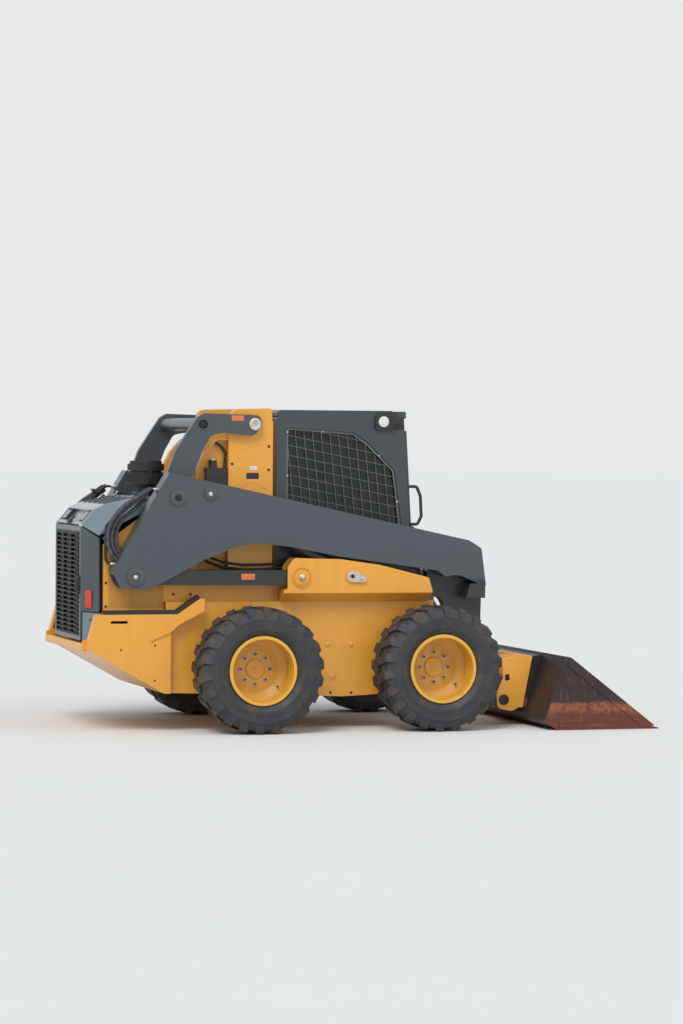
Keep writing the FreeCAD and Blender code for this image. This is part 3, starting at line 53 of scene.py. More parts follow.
# Colours are linear red, green and blue.
LOADER_YELLOW = (0.81, 0.362, 0.040)
SLATE = (0.055, 0.067, 0.079)
CAB_SLATE = (0.038, 0.048, 0.056)
HOOD_SLATE = (0.150, 0.205, 0.235)
LINK_BLACK = (0.014, 0.015, 0.017)
WHEEL_COLOUR = (0.770, 0.405, 0.035)
# The coupler's yellow is the loader's yellow made brighter: painted light on a part that stands in shade.
COUPLER_LIT_COLOUR = (0.950, 0.430, 0.050)
DARK_PAINT = (0.022, 0.025, 0.028)
TYRE_BLACK = (0.027, 0.030, 0.036)
SOIL = (0.17, 0.105, 0.062)
BUCKET_BLACK = (0.033, 0.021, 0.023)
MOULDED_BLACK = (0.018, 0.019, 0.021)
HOSE_BLACK = (0.014, 0.014, 0.015)

# The holes of the side panels, in metres: their pitch, and where the rows begin and end.
HOLE_PITCH = 0.0078
HOLE_FIELD = (("X", (-1014 - DATUM) / 1000, (-624 - DATUM) / 1000), ("Z", 0.835, 1.262))
HOLE_EDGE = 0.004


def shade(colour, share, lift=0.0):
    return tuple(c * share + lift for c in colour)


def set_inputs(node, **values):
    """Default values of a node's inputs, by the input's name with _ for a space."""
    for name, value in values.items():
        node.inputs[name.replace("_", " ")].default_value = value


class Finish:
    """One procedural material, built up in layers on the object's own coordinates."""

    def __init__(self, name, colour, rough, metal=0.0, coat=0.0):
        self.material = bpy.data.materials.new(name)
        self.material.use_nodes = True
        self.material.diffuse_color = (*colour, 1)
        self.tree = self.material.node_tree
        self.shader = self.tree.nodes["Principled BSDF"]
        set_inputs(self.shader, Metallic=metal, Coat_Weight=coat, Coat_Roughness=0.2, Roughness=rough)
        self.place = self.node("ShaderNodeTexCoord")
        plain = self.node("ShaderNodeRGB")
        plain.outputs[0].default_value = (*colour, 1)
        self.colour = plain.outputs[0]
        self.rough = None
        self.height = None

    def node(self, kind, **settings):
        made = self.tree.nodes.new(kind)
        for key, value in settings.items():
            setattr(made, key, value)
        return made

    def link(self, out, into):
        self.tree.links.new(out, into)

    def noise(self, scale, detail=6.0, stretch=(1, 1, 1)):
        """Noise from 0 to 1 on the object's coordinates; scale counts its blobs to a metre."""
        mapping = self.node("ShaderNodeMapping")
        mapping.inputs["Scale"].default_value = stretch
        self.link(self.place.outputs["Object"], mapping.inputs["Vector"])
        made = self.node("ShaderNodeTexNoise")
        set_inputs(made, Scale=scale, Detail=detail, Roughness=0.55)
        self.link(mapping.outputs[0], made.inputs["Vector"])
        return made.outputs["Fac"]

    def span(self, source, low, high, to_low=0.0, to_high=1.0):
        """A value carried from one range to another and held inside it."""
        made = self.node("ShaderNodeMapRange")
        set_inputs(made, From_Min=low, From_Max=high, To_Min=to_low, To_Max=to_high)
        self.link(source, made.inputs["Value"])
        return made.outputs[0]

    def axis(self, letter, output="Object"):
        made = self.node("ShaderNodeSeparateXYZ")
        self.link(self.place.outputs[output], made.inputs[0])
        return made.outputs["XYZ".index(letter)]

    def sum(self, operation, *sources, clamp=False):
        """One operation on sockets or plain numbers."""
        made = self.node("ShaderNodeMath", operation=operation, use_clamp=clamp)
        for slot, source in enumerate(sources):
            if isinstance(source, (int, float)):
                made.inputs[slot].default_value = source
            else:
                self.link(source, made.inputs[slot])
        return made.outputs[0]

    def times(self, first, *others):
        for other in others:
            first = self.sum("MULTIPLY", first, other)
        return first

    def plus(self, first, second):
        return self.sum("ADD", first, second, clamp=True)

    def cells(self, scale):
        """Distance from the middle of small cells; scale counts them to a metre."""
        made = self.node("ShaderNodeTexVoronoi")
        made.inputs["Scale"].default_value = scale
        self.link(self.place.outputs["Object"], made.inputs["Vector"])
        return made.outputs["Distance"]

    def lay(self, mask, colour):
        """Lay another colour over what is there, where the mask is 1."""
        mix = self.node("ShaderNodeMix", data_type="RGBA")
        self.link(mask, mix.inputs["Factor"])
        self.link(self.colour, mix.inputs[6])
        mix.inputs[7].default_value = (*colour, 1)
        self.colour = mix.outputs[2]

    def fleck(self, noise, low, high, share, colour):
        """Lay a colour over up to a share of what is there, as a noise runs from low to high."""
        self.lay(self.span(noise, low, high, 0.0, share), colour)

    def roughen(self, mask, low, high):
        self.rough = self.span(mask, 0, 1, low, high)

    def bump(self, source, depth):
        """Raise the surface by at most a depth in metres."""
        made = self.node("ShaderNodeBump")
        set_inputs(made, Strength=1.0, Distance=depth)
        self.link(source, made.inputs["Height"])
        if self.height is not None:
            self.link(self.height, made.inputs["Normal"])
        self.height = made.outputs[0]

    def done(self):
        self.link(self.colour, self.shader.inputs["Base Color"])
        if self.rough is not None:
            self.link(self.rough, self.shader.inputs["Roughness"])
        if self.height is not None:
            self.link(self.height, self.shader.inputs["Normal"])
        return self.material


def dusty(finish, top, strength):
    """Dried soil that thins out upwards, in blotches, and settles on level faces."""
    blotches = finish.span(finish.noise(7, 8), 0.42, 0.66)
    fine = finish.span(finish.noise(60, 8), 0.40, 0.70)
    low = finish.span(finish.axis("Z"), 0.15, top, 1.0, 0.0)
    settled = finish.span(finish.axis("Z", "Normal"), 0.55, 1.0, 0.0, 0.35)
    finish.lay(finish.times(blotches, fine, finish.plus(low, settled), strength), SOIL)


def loader_paint(name, colour, soil_top=0.95, soil=0.75, gloss=0.35):
    """Glossy machine paint with faint orange peel, faded patches, fine scratches and dried soil."""
    paint = Finish(name, colour, 0.34, coat=gloss)
    paint.fleck(paint.noise(2.2, 4), 0.35, 0.70, 0.16, shade(colour, 0.80))
    paint.fleck(paint.noise(16, 6, stretch=(1, 1, 0.10)), 0.56, 0.72, 0.16, shade(colour, 0.55))
    paint.fleck(paint.noise(90, 3, stretch=(1, 1, 6)), 0.70, 0.76, 0.5, shade(colour, 0.6, 0.05))
    dusty(paint, soil_top, soil)
    paint.roughen(paint.noise(9, 6), 0.42 - 0.4 * gloss, 0.60 - 0.3 * gloss)
    paint.bump(paint.noise(420, 2), 0.00012)
    return paint.done()


def arm_paint():
    """The arms' slate, and the near-black of their front legs below the level of the axles' covers."""
    paint = Finish("arm_slate", SLATE, 0.34, coat=0.35)
    paint.fleck(paint.noise(1.6, 4), 0.35, 0.70, 0.20, shade(SLATE, 1.18))
    paint.fleck(paint.noise(14, 6, stretch=(1, 1, 0.10)), 0.56, 0.72, 0.16, shade(SLATE, 0.6))
    paint.fleck(paint.noise(90, 3, stretch=(6, 1, 1)), 0.71, 0.76, 0.5, (0.13, 0.14, 0.15))
    ahead = paint.span(paint.axis("X"), 0.40, 0.42)
    leg = paint.times(ahead, paint.span(paint.axis("Z"), 1.020, 1.045, 1.0, 0.0))
    paint.lay(leg, DARK_PAINT)
    dusty(paint, 0.95, 0.3)
    paint.roughen(paint.noise(7, 6), 0.26, 0.50)
    paint.bump(paint.noise(420, 2), 0.00012)
    return paint.done()


def sleeve_weave():
    """Woven grey sleeving round the hoses, with a coil of fine bands."""
    weave = Finish("hose_sleeve_weave", (0.050, 0.047, 0.062), 0.7)
    weave.fleck(weave.noise(38, 6), 0.44, 0.66, 0.7, (0.125, 0.120, 0.150))
    weave.fleck(weave.noise(160, 3), 0.56, 0.70, 0.6, (0.012, 0.012, 0.016))
    weave.roughen(weave.noise(60, 4), 0.5, 0.85)
    weave.bump(weave.noise(420, 3), 0.0005)
    return weave.done()


def perforated_paint():
    """Machine paint with rows of small round holes where the side panels let air through; the holes are painted
    near-black, as painted shade of the dark space behind the panel.
    """
    paint = Finish("perforated_yellow", LOADER_YELLOW, 0.4, coat=0.2)
    paint.fleck(paint.noise(2.2, 4), 0.35, 0.70, 0.25, shade(LOADER_YELLOW, 0.78))
    offsets = []
    for letter in "XZ":
        share = paint.sum("FRACT", paint.times(paint.axis(letter), 1 / HOLE_PITCH))
        middle = paint.sum("SUBTRACT", share, 0.5)
        offsets.append(paint.times(middle, middle))
    inside = paint.span(paint.plus(*offsets), 0.06, 0.12, 0.95, 0.0)
    for letter, low, high in HOLE_FIELD:
        place = paint.axis(letter)
        inside = paint.times(inside, paint.span(place, low, low + HOLE_EDGE))
        inside = paint.times(inside, paint.span(place, high - HOLE_EDGE, high, 1.0, 0.0))
    # Painted shade: near-black inside the holes, for the dark space behind the panel.
    paint.lay(inside, (0.020, 0.014, 0.008))
    dusty(paint, 1.1, 0.4)
    paint.roughen(paint.noise(9, 6), 0.34, 0.6)
    paint.bump(inside, -0.0008)
    return paint.done()


def tyre_rubber():
    """Smooth bluish-black sidewalls, and dried soil in patches on the lugs and between them."""
    rubber = Finish("tyre_rubber", TYRE_BLACK, 0.6)
    rubber.fleck(rubber.noise(18, 8), 0.35, 0.75, 0.30, (0.052, 0.056, 0.064))
    patch = rubber.span(rubber.noise(9, 8), 0.50, 0.62)
    fine = rubber.span(rubber.noise(130, 5), 0.34, 0.60)
    tread = rubber.span(rubber.sum("ABSOLUTE", rubber.axis("Y", "Normal")), 0.55, 0.92, 1.0, 0.16)
    rubber.lay(rubber.times(patch, fine, tread), (0.150, 0.082, 0.040))
    rubber.fleck(rubber.noise(4, 5), 0.45, 0.75, 0.10, SOIL)
    rubber.roughen(rubber.noise(30, 6), 0.45, 0.75)
    rubber.bump(rubber.noise(220, 6), 0.0003)
    return rubber.done()


def moulded(name, colour, rough=0.5, soil=0.35):
    """Moulded plastic or satin black steel with a fine grain and a film of dust."""
    plastic = Finish(name, colour, rough)
    plastic.fleck(plastic.noise(5, 5), 0.4, 0.7, 0.3, shade(colour, 1.8, 0.01))
    dusty(plastic, 0.8, soil)
    plastic.roughen(plastic.noise(30, 5), rough - 0.1, min(rough + 0.18, 1.0))
    plastic.bump(plastic.noise(700, 2), 0.00015)
    return plastic.done()


def rusted_steel():
    """Bucket plate: near-black above, a ragged band of orange rust at the soil line, red-brown below it."""
    steel = Finish("rusted_bucket_steel", BUCKET_BLACK, 0.5, metal=0.3)
    steel.fleck(steel.noise(5, 8), 0.42, 0.66, 0.55, (0.056, 0.032, 0.030))
    level = steel.sum("MULTIPLY_ADD", steel.noise(11, 9, stretch=(0.7, 1, 1.6)), 0.09, steel.axis("Z"))
    facing = steel.span(steel.axis("X", "Normal"), -0.45, -0.12, 0.12, 1.0)
    below = steel.times(steel.span(level, 0.225, 0.245, 1.0, 0.0), facing)
    steel.lay(steel.times(below, 0.9), (0.330, 0.110, 0.042))
    crust = steel.span(steel.noise(24, 9), 0.46, 0.62)
    steel.lay(steel.times(crust, below), (0.150, 0.042, 0.024))
    deep = steel.span(level, 0.150, 0.185, 1.0, 0.0)
    steel.lay(steel.times(deep, 0.85), (0.118, 0.029, 0.018))
    worn = steel.times(steel.span(steel.noise(30, 6, stretch=(0.2, 1, 3)), 0.58, 0.68), deep)
    steel.lay(steel.times(worn, 0.55), (0.230, 0.120, 0.085))
    freckles = steel.times(steel.span(steel.noise(9, 6), 0.56, 0.68), steel.span(steel.noise(70, 7), 0.52, 0.62))
    steel.lay(steel.times(freckles, 0.7, facing), (0.260, 0.085, 0.038))
    back = steel.span(steel.axis("X", "Normal"), -0.45, -0.12, 0.80, 0.0)
    steel.lay(back, (0.028, 0.029, 0.036))
    steel.fleck(steel.noise(48, 4, stretch=(3, 1, 0.14)), 0.63, 0.68, 0.40, (0.260, 0.240, 0.230))
    steel.roughen(steel.noise(22, 8), 0.25, 0.65)
    steel.bump(steel.noise(110, 8), 0.0006)
    return steel.done()


def chromed_rod():
    rod = Finish("chromed_rod", (0.62, 0.63, 0.65), 0.12, metal=1.0)
    rod.fleck(rod.noise(35, 6), 0.55, 0.75, 0.35, (0.30, 0.27, 0.24))
    rod.roughen(rod.noise(50, 6), 0.06, 0.30)
    return rod.done()


def cast_metal(name, colour, metal=0.8):
    cast = Finish(name, colour, 0.5, metal=metal)
    cast.fleck(cast.noise(45, 7), 0.45, 0.7, 0.6, shade(colour, 0.45))
    dusty(cast, 0.8, 0.5)
    cast.roughen(cast.noise(80, 5), 0.35, 0.75)
    cast.bump(cast.noise(300, 5), 0.0003)
    return cast.done()


def tinted_pane(name, colour):
    """Tinted safety glass with a film of dust."""
    pane = Finish(name, colour, 0.08)
    set_inputs(pane.shader, Transmission_Weight=0.85, IOR=1.46)
    pane.fleck(pane.noise(6, 8), 0.45, 0.8, 0.14, (0.24, 0.27, 0.25))
    pane.roughen(pane.noise(25, 8), 0.04, 0.28)
    return pane.done()


def reflector_red():
    red = Finish("reflector_red", (0.55, 0.02, 0.015), 0.18, coat=0.6)
    cells = red.cells(260)
    red.lay(red.span(cells, 0.1, 0.6, 0.5, 0.0), (0.85, 0.08, 0.05))
    red.bump(cells, 0.0006)
    return red.done()


def seat_vinyl():
    vinyl = Finish("seat_vinyl", (0.020, 0.020, 0.022), 0.5)
    vinyl.fleck(vinyl.noise(14, 6), 0.4, 0.7, 0.4, (0.05, 0.048, 0.046))
    vinyl.bump(vinyl.cells(420), 0.0005)
    vinyl.roughen(vinyl.noise(20, 6), 0.42, 0.7)
    return vinyl.done()


YELLOW = loader_paint("loader_yellow", LOADER_YELLOW, soil=0.35)
WHEEL_YELLOW = loader_paint("wheel_yellow", WHEEL_COLOUR, soil_top=1.4, soil=0.3)
# Painted light: a brighter copy of the loader's yellow for the coupler.
COUPLER_PAINTED_LIGHT_YELLOW = loader_paint("coupler_painted_light_yellow", COUPLER_LIT_COLOUR, soil=0.3)
SLATE_PAINT = loader_paint("slate_paint", SLATE, soil=0.3)
ARM_PAINT = arm_paint()
SLEEVE = sleeve_weave()
CAB_PAINT = loader_paint("cab_slate", CAB_SLATE, soil=0.2)
HOOD_PAINT = loader_paint("hood_slate", HOOD_SLATE, soil=0.15, gloss=0.7)
LINK_PAINT = loader_paint("link_black", LINK_BLACK, soil=0.2)
DARK_CASTING = loader_paint("dark_casting", DARK_PAINT, soil=0.6)
PERFORATED = perforated_paint()
RUBBER = tyre_rubber()
BLACK_PLASTIC = moulded("moulded_black", MOULDED_BLACK)
BLACK_STEEL = moulded("black_steel", (0.022, 0.022, 0.023), 0.42)
HOSE_RUBBER = moulded("hose_rubber", HOSE_BLACK, 0.6)
BUCKET_STEEL = rusted_steel()
CHROME = chromed_rod()
CAST_STEEL = cast_metal("cast_steel", (0.16, 0.15, 0.14))
SILVER = cast_metal("zinc_plated", (0.62, 0.61, 0.58), metal=0.9)
GLASS = tinted_pane("tinted_glass", (0.045, 0.072, 0.068))
REFLECTOR = reflector_red()
VINYL = seat_vinyl()
PLATE_ORANGE = moulded("plate_orange", (0.62, 0.16, 0.05), 0.45)
PLATE_WHITE = moulded("plate_white", (0.62, 0.62, 0.60), 0.45)
LAMP_LENS = moulded("lamp_lens", (0.70, 0.70, 0.66), 0.25, soil=0.0)
TAIL_LENS = moulded("tail_lamp_lens", (0.20, 0.22, 0.24), 0.2, soil=0.1)
GUARD_WIRE = moulded("guard_wire", (0.155, 0.145, 0.130), 0.45, soil=0.2)
# Near-black for painted shade inside holes, sockets, slots and open tube ends.
HOLE_SHADE_BLACK = moulded("painted_hole_shade", (0.006, 0.006, 0.007), 0.7, soil=0.0)

FINISH_OF_SLOT = {
    "yellow_paint": YELLOW,
    "dark_paint": DARK_CASTING,
    "slate_paint": SLATE_PAINT,
    "black_plastic": BLACK_PLASTIC,
    "black_steel": BLACK_STEEL,
    "tinted_glass": GLASS,
    "seat_vinyl": VINYL,
    "cast_steel": CAST_STEEL,
    "chrome": CHROME,
    "worn_steel": BUCKET_STEEL,
    "tyre": RUBBER,
    "wheel_paint": WHEEL_YELLOW,
    "red_lens": REFLECTOR,
    "hose_rubber": HOSE_RUBBER,
}

SLOT_OF_FINISH = {finish.name: slot for slot, finish in FINISH_OF_SLOT.items()}
SLOT_OF_FINISH.update({
    SILVER.name: "cast_steel",
    HOLE_SHADE_BLACK.name: "black_plastic",
    TAIL_LENS.name: "tinted_glass",
    SLEEVE.name: "hose_rubber",
    LAMP_LENS.name: "tinted_glass",
    GUARD_WIRE.name: "black_steel",
    PLATE_ORANGE.name: "black_plastic",
    PLATE_WHITE.name: "black_plastic",
})

FINISH_OF_NODE = {
    "engine_side_panels": PERFORATED,
    "tail_lamps": BLACK_PLASTIC,
    "engine_hood": HOOD_PAINT,
    "rear_shell": HOOD_PAINT,
    "cab_frame": CAB_PAINT,
    "cab_roof": CAB_PAINT,
    "control_links": LINK_PAINT,
    "coupler": COUPLER_PAINTED_LIGHT_YELLOW,
    "boom_arm_left": ARM_PAINT,
    "boom_arm_right": ARM_PAINT,
}


def finish_nodes():
    """Give every CAD node the finish of its own material slot."""
    for part in frame["record"]["subparts"]:
        item = NODES[part["node"]]
        finish = FINISH_OF_NODE.get(part["node"]) or FINISH_OF_SLOT[part["material_slot"]]
        item.data.materials.clear()
        item.data.materials.append(finish)


def spot(x, y, z):
    """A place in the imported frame, from millimetres ahead of the CAD source's datum."""
    return Vector(((x - DATUM) / 1000, y / 1000, z / 1000))


def put(name, data):
    """An object of a mesh, lamp or camera, in the scene."""
    item = bpy.data.objects.new(name, data)
    bpy.context.scene.collection.objects.link(item)
    return item


def attach(item, body):
    """Let a piece ride on its body."""
    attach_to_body(item, body)


def axes_of(axis):
    """A unit axis and the two directions square to it."""
    main = Vector(axis).normalized()
    side = main.orthogonal().normalized()
    return main, side, main.cross(side)


def direction(path, i):
    """Which way a path runs at its place i."""
    return (path[min(i + 1, len(path) - 1)] - path[max(i - 1, 0)]).normalized()


def angles(steps):
    return [2 * math.pi * i / steps for i in range(steps)]


class Shape:
    """A mesh put together from plain forms. Lengths go in as millimetres from the datum."""

    def __init__(self):
        self.mesh = bmesh.new()

    def corner(self, place):
        return self.mesh.verts.new(spot(*place))

    def ring(self, centre, side, other, radius, steps):
        """The corners of a circle round a centre."""
        return [self.corner(centre + (side * math.cos(a) + other * math.sin(a)) * radius) for a in angles(steps)]

    def wall(self, first, second):
        """Faces all round between two closed rings of as many corners."""
        for i in range(len(first)):
            j = (i + 1) % len(first)
            self.mesh.faces.new((first[i], first[j], second[j], second[i]))

    def prism(self, outline, low, high, plane="XZ"):
        """An outline carried from one depth to another."""
        rings = []
        for depth in (low, high):
            ring = []
            for across, up in outline:
                ring.append(self.corner({"XZ": (across, depth, up), "XY": (across, up, depth)}[plane]))
            rings.append(ring)
        self.close(rings)

    def close(self, rings):
        """Walls between rings of as many corners, and a cap at each end."""
        for first, second in zip(rings, rings[1:]):
            self.wall(first, second)
        self.mesh.faces.new(rings[0])
        self.mesh.faces.new(list(reversed(rings[-1])))

    def block(self, x, y, z):
        self.prism(((x[0], z[0]), (x[1], z[0]), (x[1], z[1]), (x[0], z[1])), y[0], y[1])

    def turned(self, centre, axis, profile, steps=32):
        """A profile of (distance along the axis, radius), turned about the axis through a centre."""
        main, side, other = axes_of(axis)
        self.close([self.ring(Vector(centre) + main * along, side, other, radius, steps)
                    for along, radius in profile])

    def band(self, centre, axis, profile, steps=64):
        """A closed section of (distance along the axis, radius), carried right round as a ring."""
        main, side, other = axes_of(axis)
        rings = []
        for angle in angles(steps):
            out = side * math.cos(angle) + other * math.sin(angle)
            rings.append([self.corner(Vector(centre) + main * a + out * r) for a, r in profile])
        for i, first in enumerate(rings):
            self.wall(first, rings[(i + 1) % steps])

    def tube(self, points, radius, steps=12):
        """A round bar or hose through places, with a soft turn at each."""
        path = []
        places = [Vector(p) for p in points]
        for i, place in enumerate(places):
            if i in (0, len(places) - 1):
                path.append(place)
                continue
            back = places[i - 1] - place
            ahead = places[i + 1] - place
            run = min(back.length, ahead.length) * 0.45
            start = place + back.normalized() * run
            stop = place + ahead.normalized() * run
            for step in range(7):
                t = step / 6
                path.append(start * (1 - t) ** 2 + place * 2 * t * (1 - t) + stop * t ** 2)
        rings = []
        side = None
        for i, place in enumerate(path):
            ahead = direction(path, i)
            if side is None:
                side = ahead.orthogonal().normalized()
            else:
                side = (side - ahead * side.dot(ahead)).normalized()
            rings.append(self.ring(place, side, ahead.cross(side), radius, steps))
        self.close(rings)

    def done(self, name, finish, body, bevel=0.0, smooth=40):
        """Turn the normals outward, soften the edges, and let the piece ride on its body."""
        bmesh.ops.remove_doubles(self.mesh, verts=self.mesh.verts, dist=1e-6)
        bmesh.ops.recalc_face_normals(self.mesh, faces=self.mesh.faces)
        if bevel:
            sharp = [e for e in self.mesh.edges if len(e.link_faces) == 2 and e.calc_face_angle() > 0.6]
            bmesh.ops.bevel(self.mesh, geom=sharp, offset=bevel / 1000, segments=2, profile=0.6,
                            affect="EDGES", clamp_overlap=True)
        for edge in self.mesh.edges:
            edge.smooth = len(edge.link_faces) == 2 and edge.calc_face_angle() < math.radians(smooth)
        for face in self.mesh.faces:
            face.smooth = True
        data = bpy.data.meshes.new(name)
        self.mesh.to_mesh(data)
        self.mesh.free()
        data.materials.append(finish)
        item = put(name, data)
        if body is not None:
            attach(item, body)
        return item


def parts_on_points():
    """A node tree that sets one part on every point, turned by the point's own "turn"."""
    tree = bpy.data.node_groups.new("parts_on_points", "GeometryNodeTree")
    names = {}
    for name, kind in (
        ("Points", "NodeSocketGeometry"),
        ("Part", "NodeSocketObject"),
        ("Finish", "NodeSocketMaterial"),
        ("Size", "NodeSocketFloat"),
    ):
        names[name] = tree.interface.new_socket(name, in_out="INPUT", socket_type=kind).identifier
    tree.interface.new_socket("Parts", in_out="OUTPUT", socket_type="NodeSocketGeometry")
    new = tree.nodes.new
    start = new("NodeGroupInput")
    end = new("NodeGroupOutput")
    part = new("GeometryNodeObjectInfo")
    turn = new("GeometryNodeInputNamedAttribute")
    turn.data_type = "FLOAT_VECTOR"
    turn.inputs["Name"].default_value = "turn"
    spin = new("FunctionNodeEulerToRotation")
    spread = new("GeometryNodeInstanceOnPoints")
    whole = new("GeometryNodeRealizeInstances")
    paint = new("GeometryNodeSetMaterial")
    for out, into in (
        (start.outputs["Points"], spread.inputs["Points"]),
        (start.outputs["Part"], part.inputs["Object"]),
        (part.outputs["Geometry"], spread.inputs["Instance"]),
        (turn.outputs["Attribute"], spin.inputs[0]),
        (spin.outputs[0], spread.inputs["Rotation"]),
        (start.outputs["Size"], spread.inputs["Scale"]),
        (spread.outputs[0], whole.inputs[0]),
        (whole.outputs[0], paint.inputs["Geometry"]),
        (start.outputs["Finish"], paint.inputs["Material"]),
        (paint.outputs[0], end.inputs[0]),
    ):
        tree.links.new(out, into)
    return tree, names


REPEAT_TREE, REPEAT_INPUTS = parts_on_points()


def repeated(name, part, rows, finish, body, size=1.0):
    """Copies of one part, made at the origin, at rows of (x, y, z, turn about X, Y, Z in degrees)."""
    data = bpy.data.meshes.new(name)
    data.from_pydata([spot(*row[:3]) for row in rows], [], [])
    turns = data.attributes.new("turn", "FLOAT_VECTOR", "POINT")
    for i, row in enumerate(rows):
        turns.data[i].vector = [math.radians(angle) for angle in row[3:]]
    item = put(name, data)
    modifier = item.modifiers.new("repeat", "NODES")
    modifier.node_group = REPEAT_TREE
    modifier[REPEAT_INPUTS["Part"]] = part
    modifier[REPEAT_INPUTS["Finish"]] = finish
    modifier[REPEAT_INPUTS["Size"]] = size
    graph = bpy.context.evaluated_depsgraph_get()
    whole = bpy.data.meshes.new_from_object(item.evaluated_get(graph))
    item.modifiers.clear()
    item.data = whole
    whole.name = name
    attach(item, body)


PATTERNS = []


def pattern_part(name, draw, finish):
    """A part to repeat, drawn round the origin with its foot on it and its axis along Y."""
    shape = Shape()
    draw(shape)
    item = shape.done(name, finish, None)
    PATTERNS.append(item)
    return item


def mirror_rows(rows):
    return rows + [(x, -y, z, rx, ry, 180 + rz) for x, y, z, rx, ry, rz in rows]


# Places in millimetres from the datum, as in the CAD source.
WHEELS = (
    # body, x, side
    ("wheel_front_left", 1235, 1),
    ("wheel_front_right", 1235, -1),
    ("wheel_rear_left", -40, 1),
    ("wheel_rear_right", -40, -1),
)
SIDES = (1, -1)
AXLE_Z = 430
WHEEL_Y = 853
DISC_FACE = 775
ARM_OUT = 715
HOUSING_OUT = 732
TOWER_OUT = 512
STUDS = 8
STUD_CIRCLE = 101.6
# From the middle of a tyre's width to its sidewall.
SIDEWALL = 170.5


def wheel_details():
    """Wheel nuts, the valve, the pressed ridges of the disc and the moulded ribs of the sidewalls."""
    nut = pattern_part("nut_pattern", lambda s: (
        s.turned((DATUM, 0, 0), (0, 1, 0), ((0, 15.5), (1.5, 17), (4, 17)), 24),
        s.turned((DATUM, 3, 0), (0, 1, 0), ((0, 13.5), (12, 13.5), (14.5, 11.5)), 6),
    ), SILVER)
    stud = pattern_part("stud_pattern", lambda s: (
        s.turned((DATUM, 14, 0), (0, 1, 0), ((0, 8.2), (5, 8.2), (6.5, 6.5)), 16),
    ), BLACK_STEEL)
    for body, x, side in WHEELS:
        rows = []
        for i in range(STUDS):
            turn = 360 // STUDS * i
            angle = math.radians(turn)
            rows.append((x + STUD_CIRCLE * math.cos(angle), side * DISC_FACE,
                         AXLE_Z + STUD_CIRCLE * math.sin(angle), 0, turn, 0 if side > 0 else 180))
        repeated(body + "_nuts", nut, rows, SILVER, body)
        repeated(body + "_studs", stud, rows, BLACK_STEEL, body)
        ridges = Shape()
        centre = (x, side * DISC_FACE, AXLE_Z)
        axis = (0, side, 0)
        for radius, width, height in ((66, 5, 2.5), (128, 4, 2), (140, 3, 1.5), (158, 4, 2.5)):
            ridges.band(centre, axis, ((-1, radius), (-1, radius + width), (height, radius + width - 1.2),
                                       (height, radius + 1.2)))
        for along, radius in ((42, 213), (78, 212), (112, 211)):
            ridges.band(centre, axis, ((along, radius), (along + 12, radius), (along + 9, radius - 3),
                                       (along + 3, radius - 3)))
        ridges.done(body + "_pressings", WHEEL_YELLOW, body)
        valve = Shape()
        place = (x + 150, side * (DISC_FACE + 4), AXLE_Z - 118)
        valve.turned(place, axis, ((-6, 7), (4, 7), (6, 4.5), (30, 4.5), (32, 6), (44, 6), (46, 4)), 16)
        valve.band(place, axis, ((-2, 9), (-2, 20), (2, 20), (3, 9)), 24)
        valve.done(body + "_valve", BLACK_STEEL, body)
        ribs = Shape()
        wall = (x, side * (WHEEL_Y + SIDEWALL), AXLE_Z)
        for radius, width, height in ((290, 10, 2.2), (306, 3, 1.4), (318, 3, 1.4), (342, 12, 3.0)):
            ribs.band(wall, axis, ((-1.5, radius - 2), (-1.5, radius + width + 2), (height, radius + width),
                                   (height, radius)), 72)
        inner = (x, side * (WHEEL_Y - SIDEWALL), AXLE_Z)
        ribs.band(inner, (0, -side, 0), ((-1.5, 300), (-1.5, 316), (2.4, 313), (2.4, 303)), 72)
        ribs.done(body + "_sidewall_ribs", RUBBER, body)


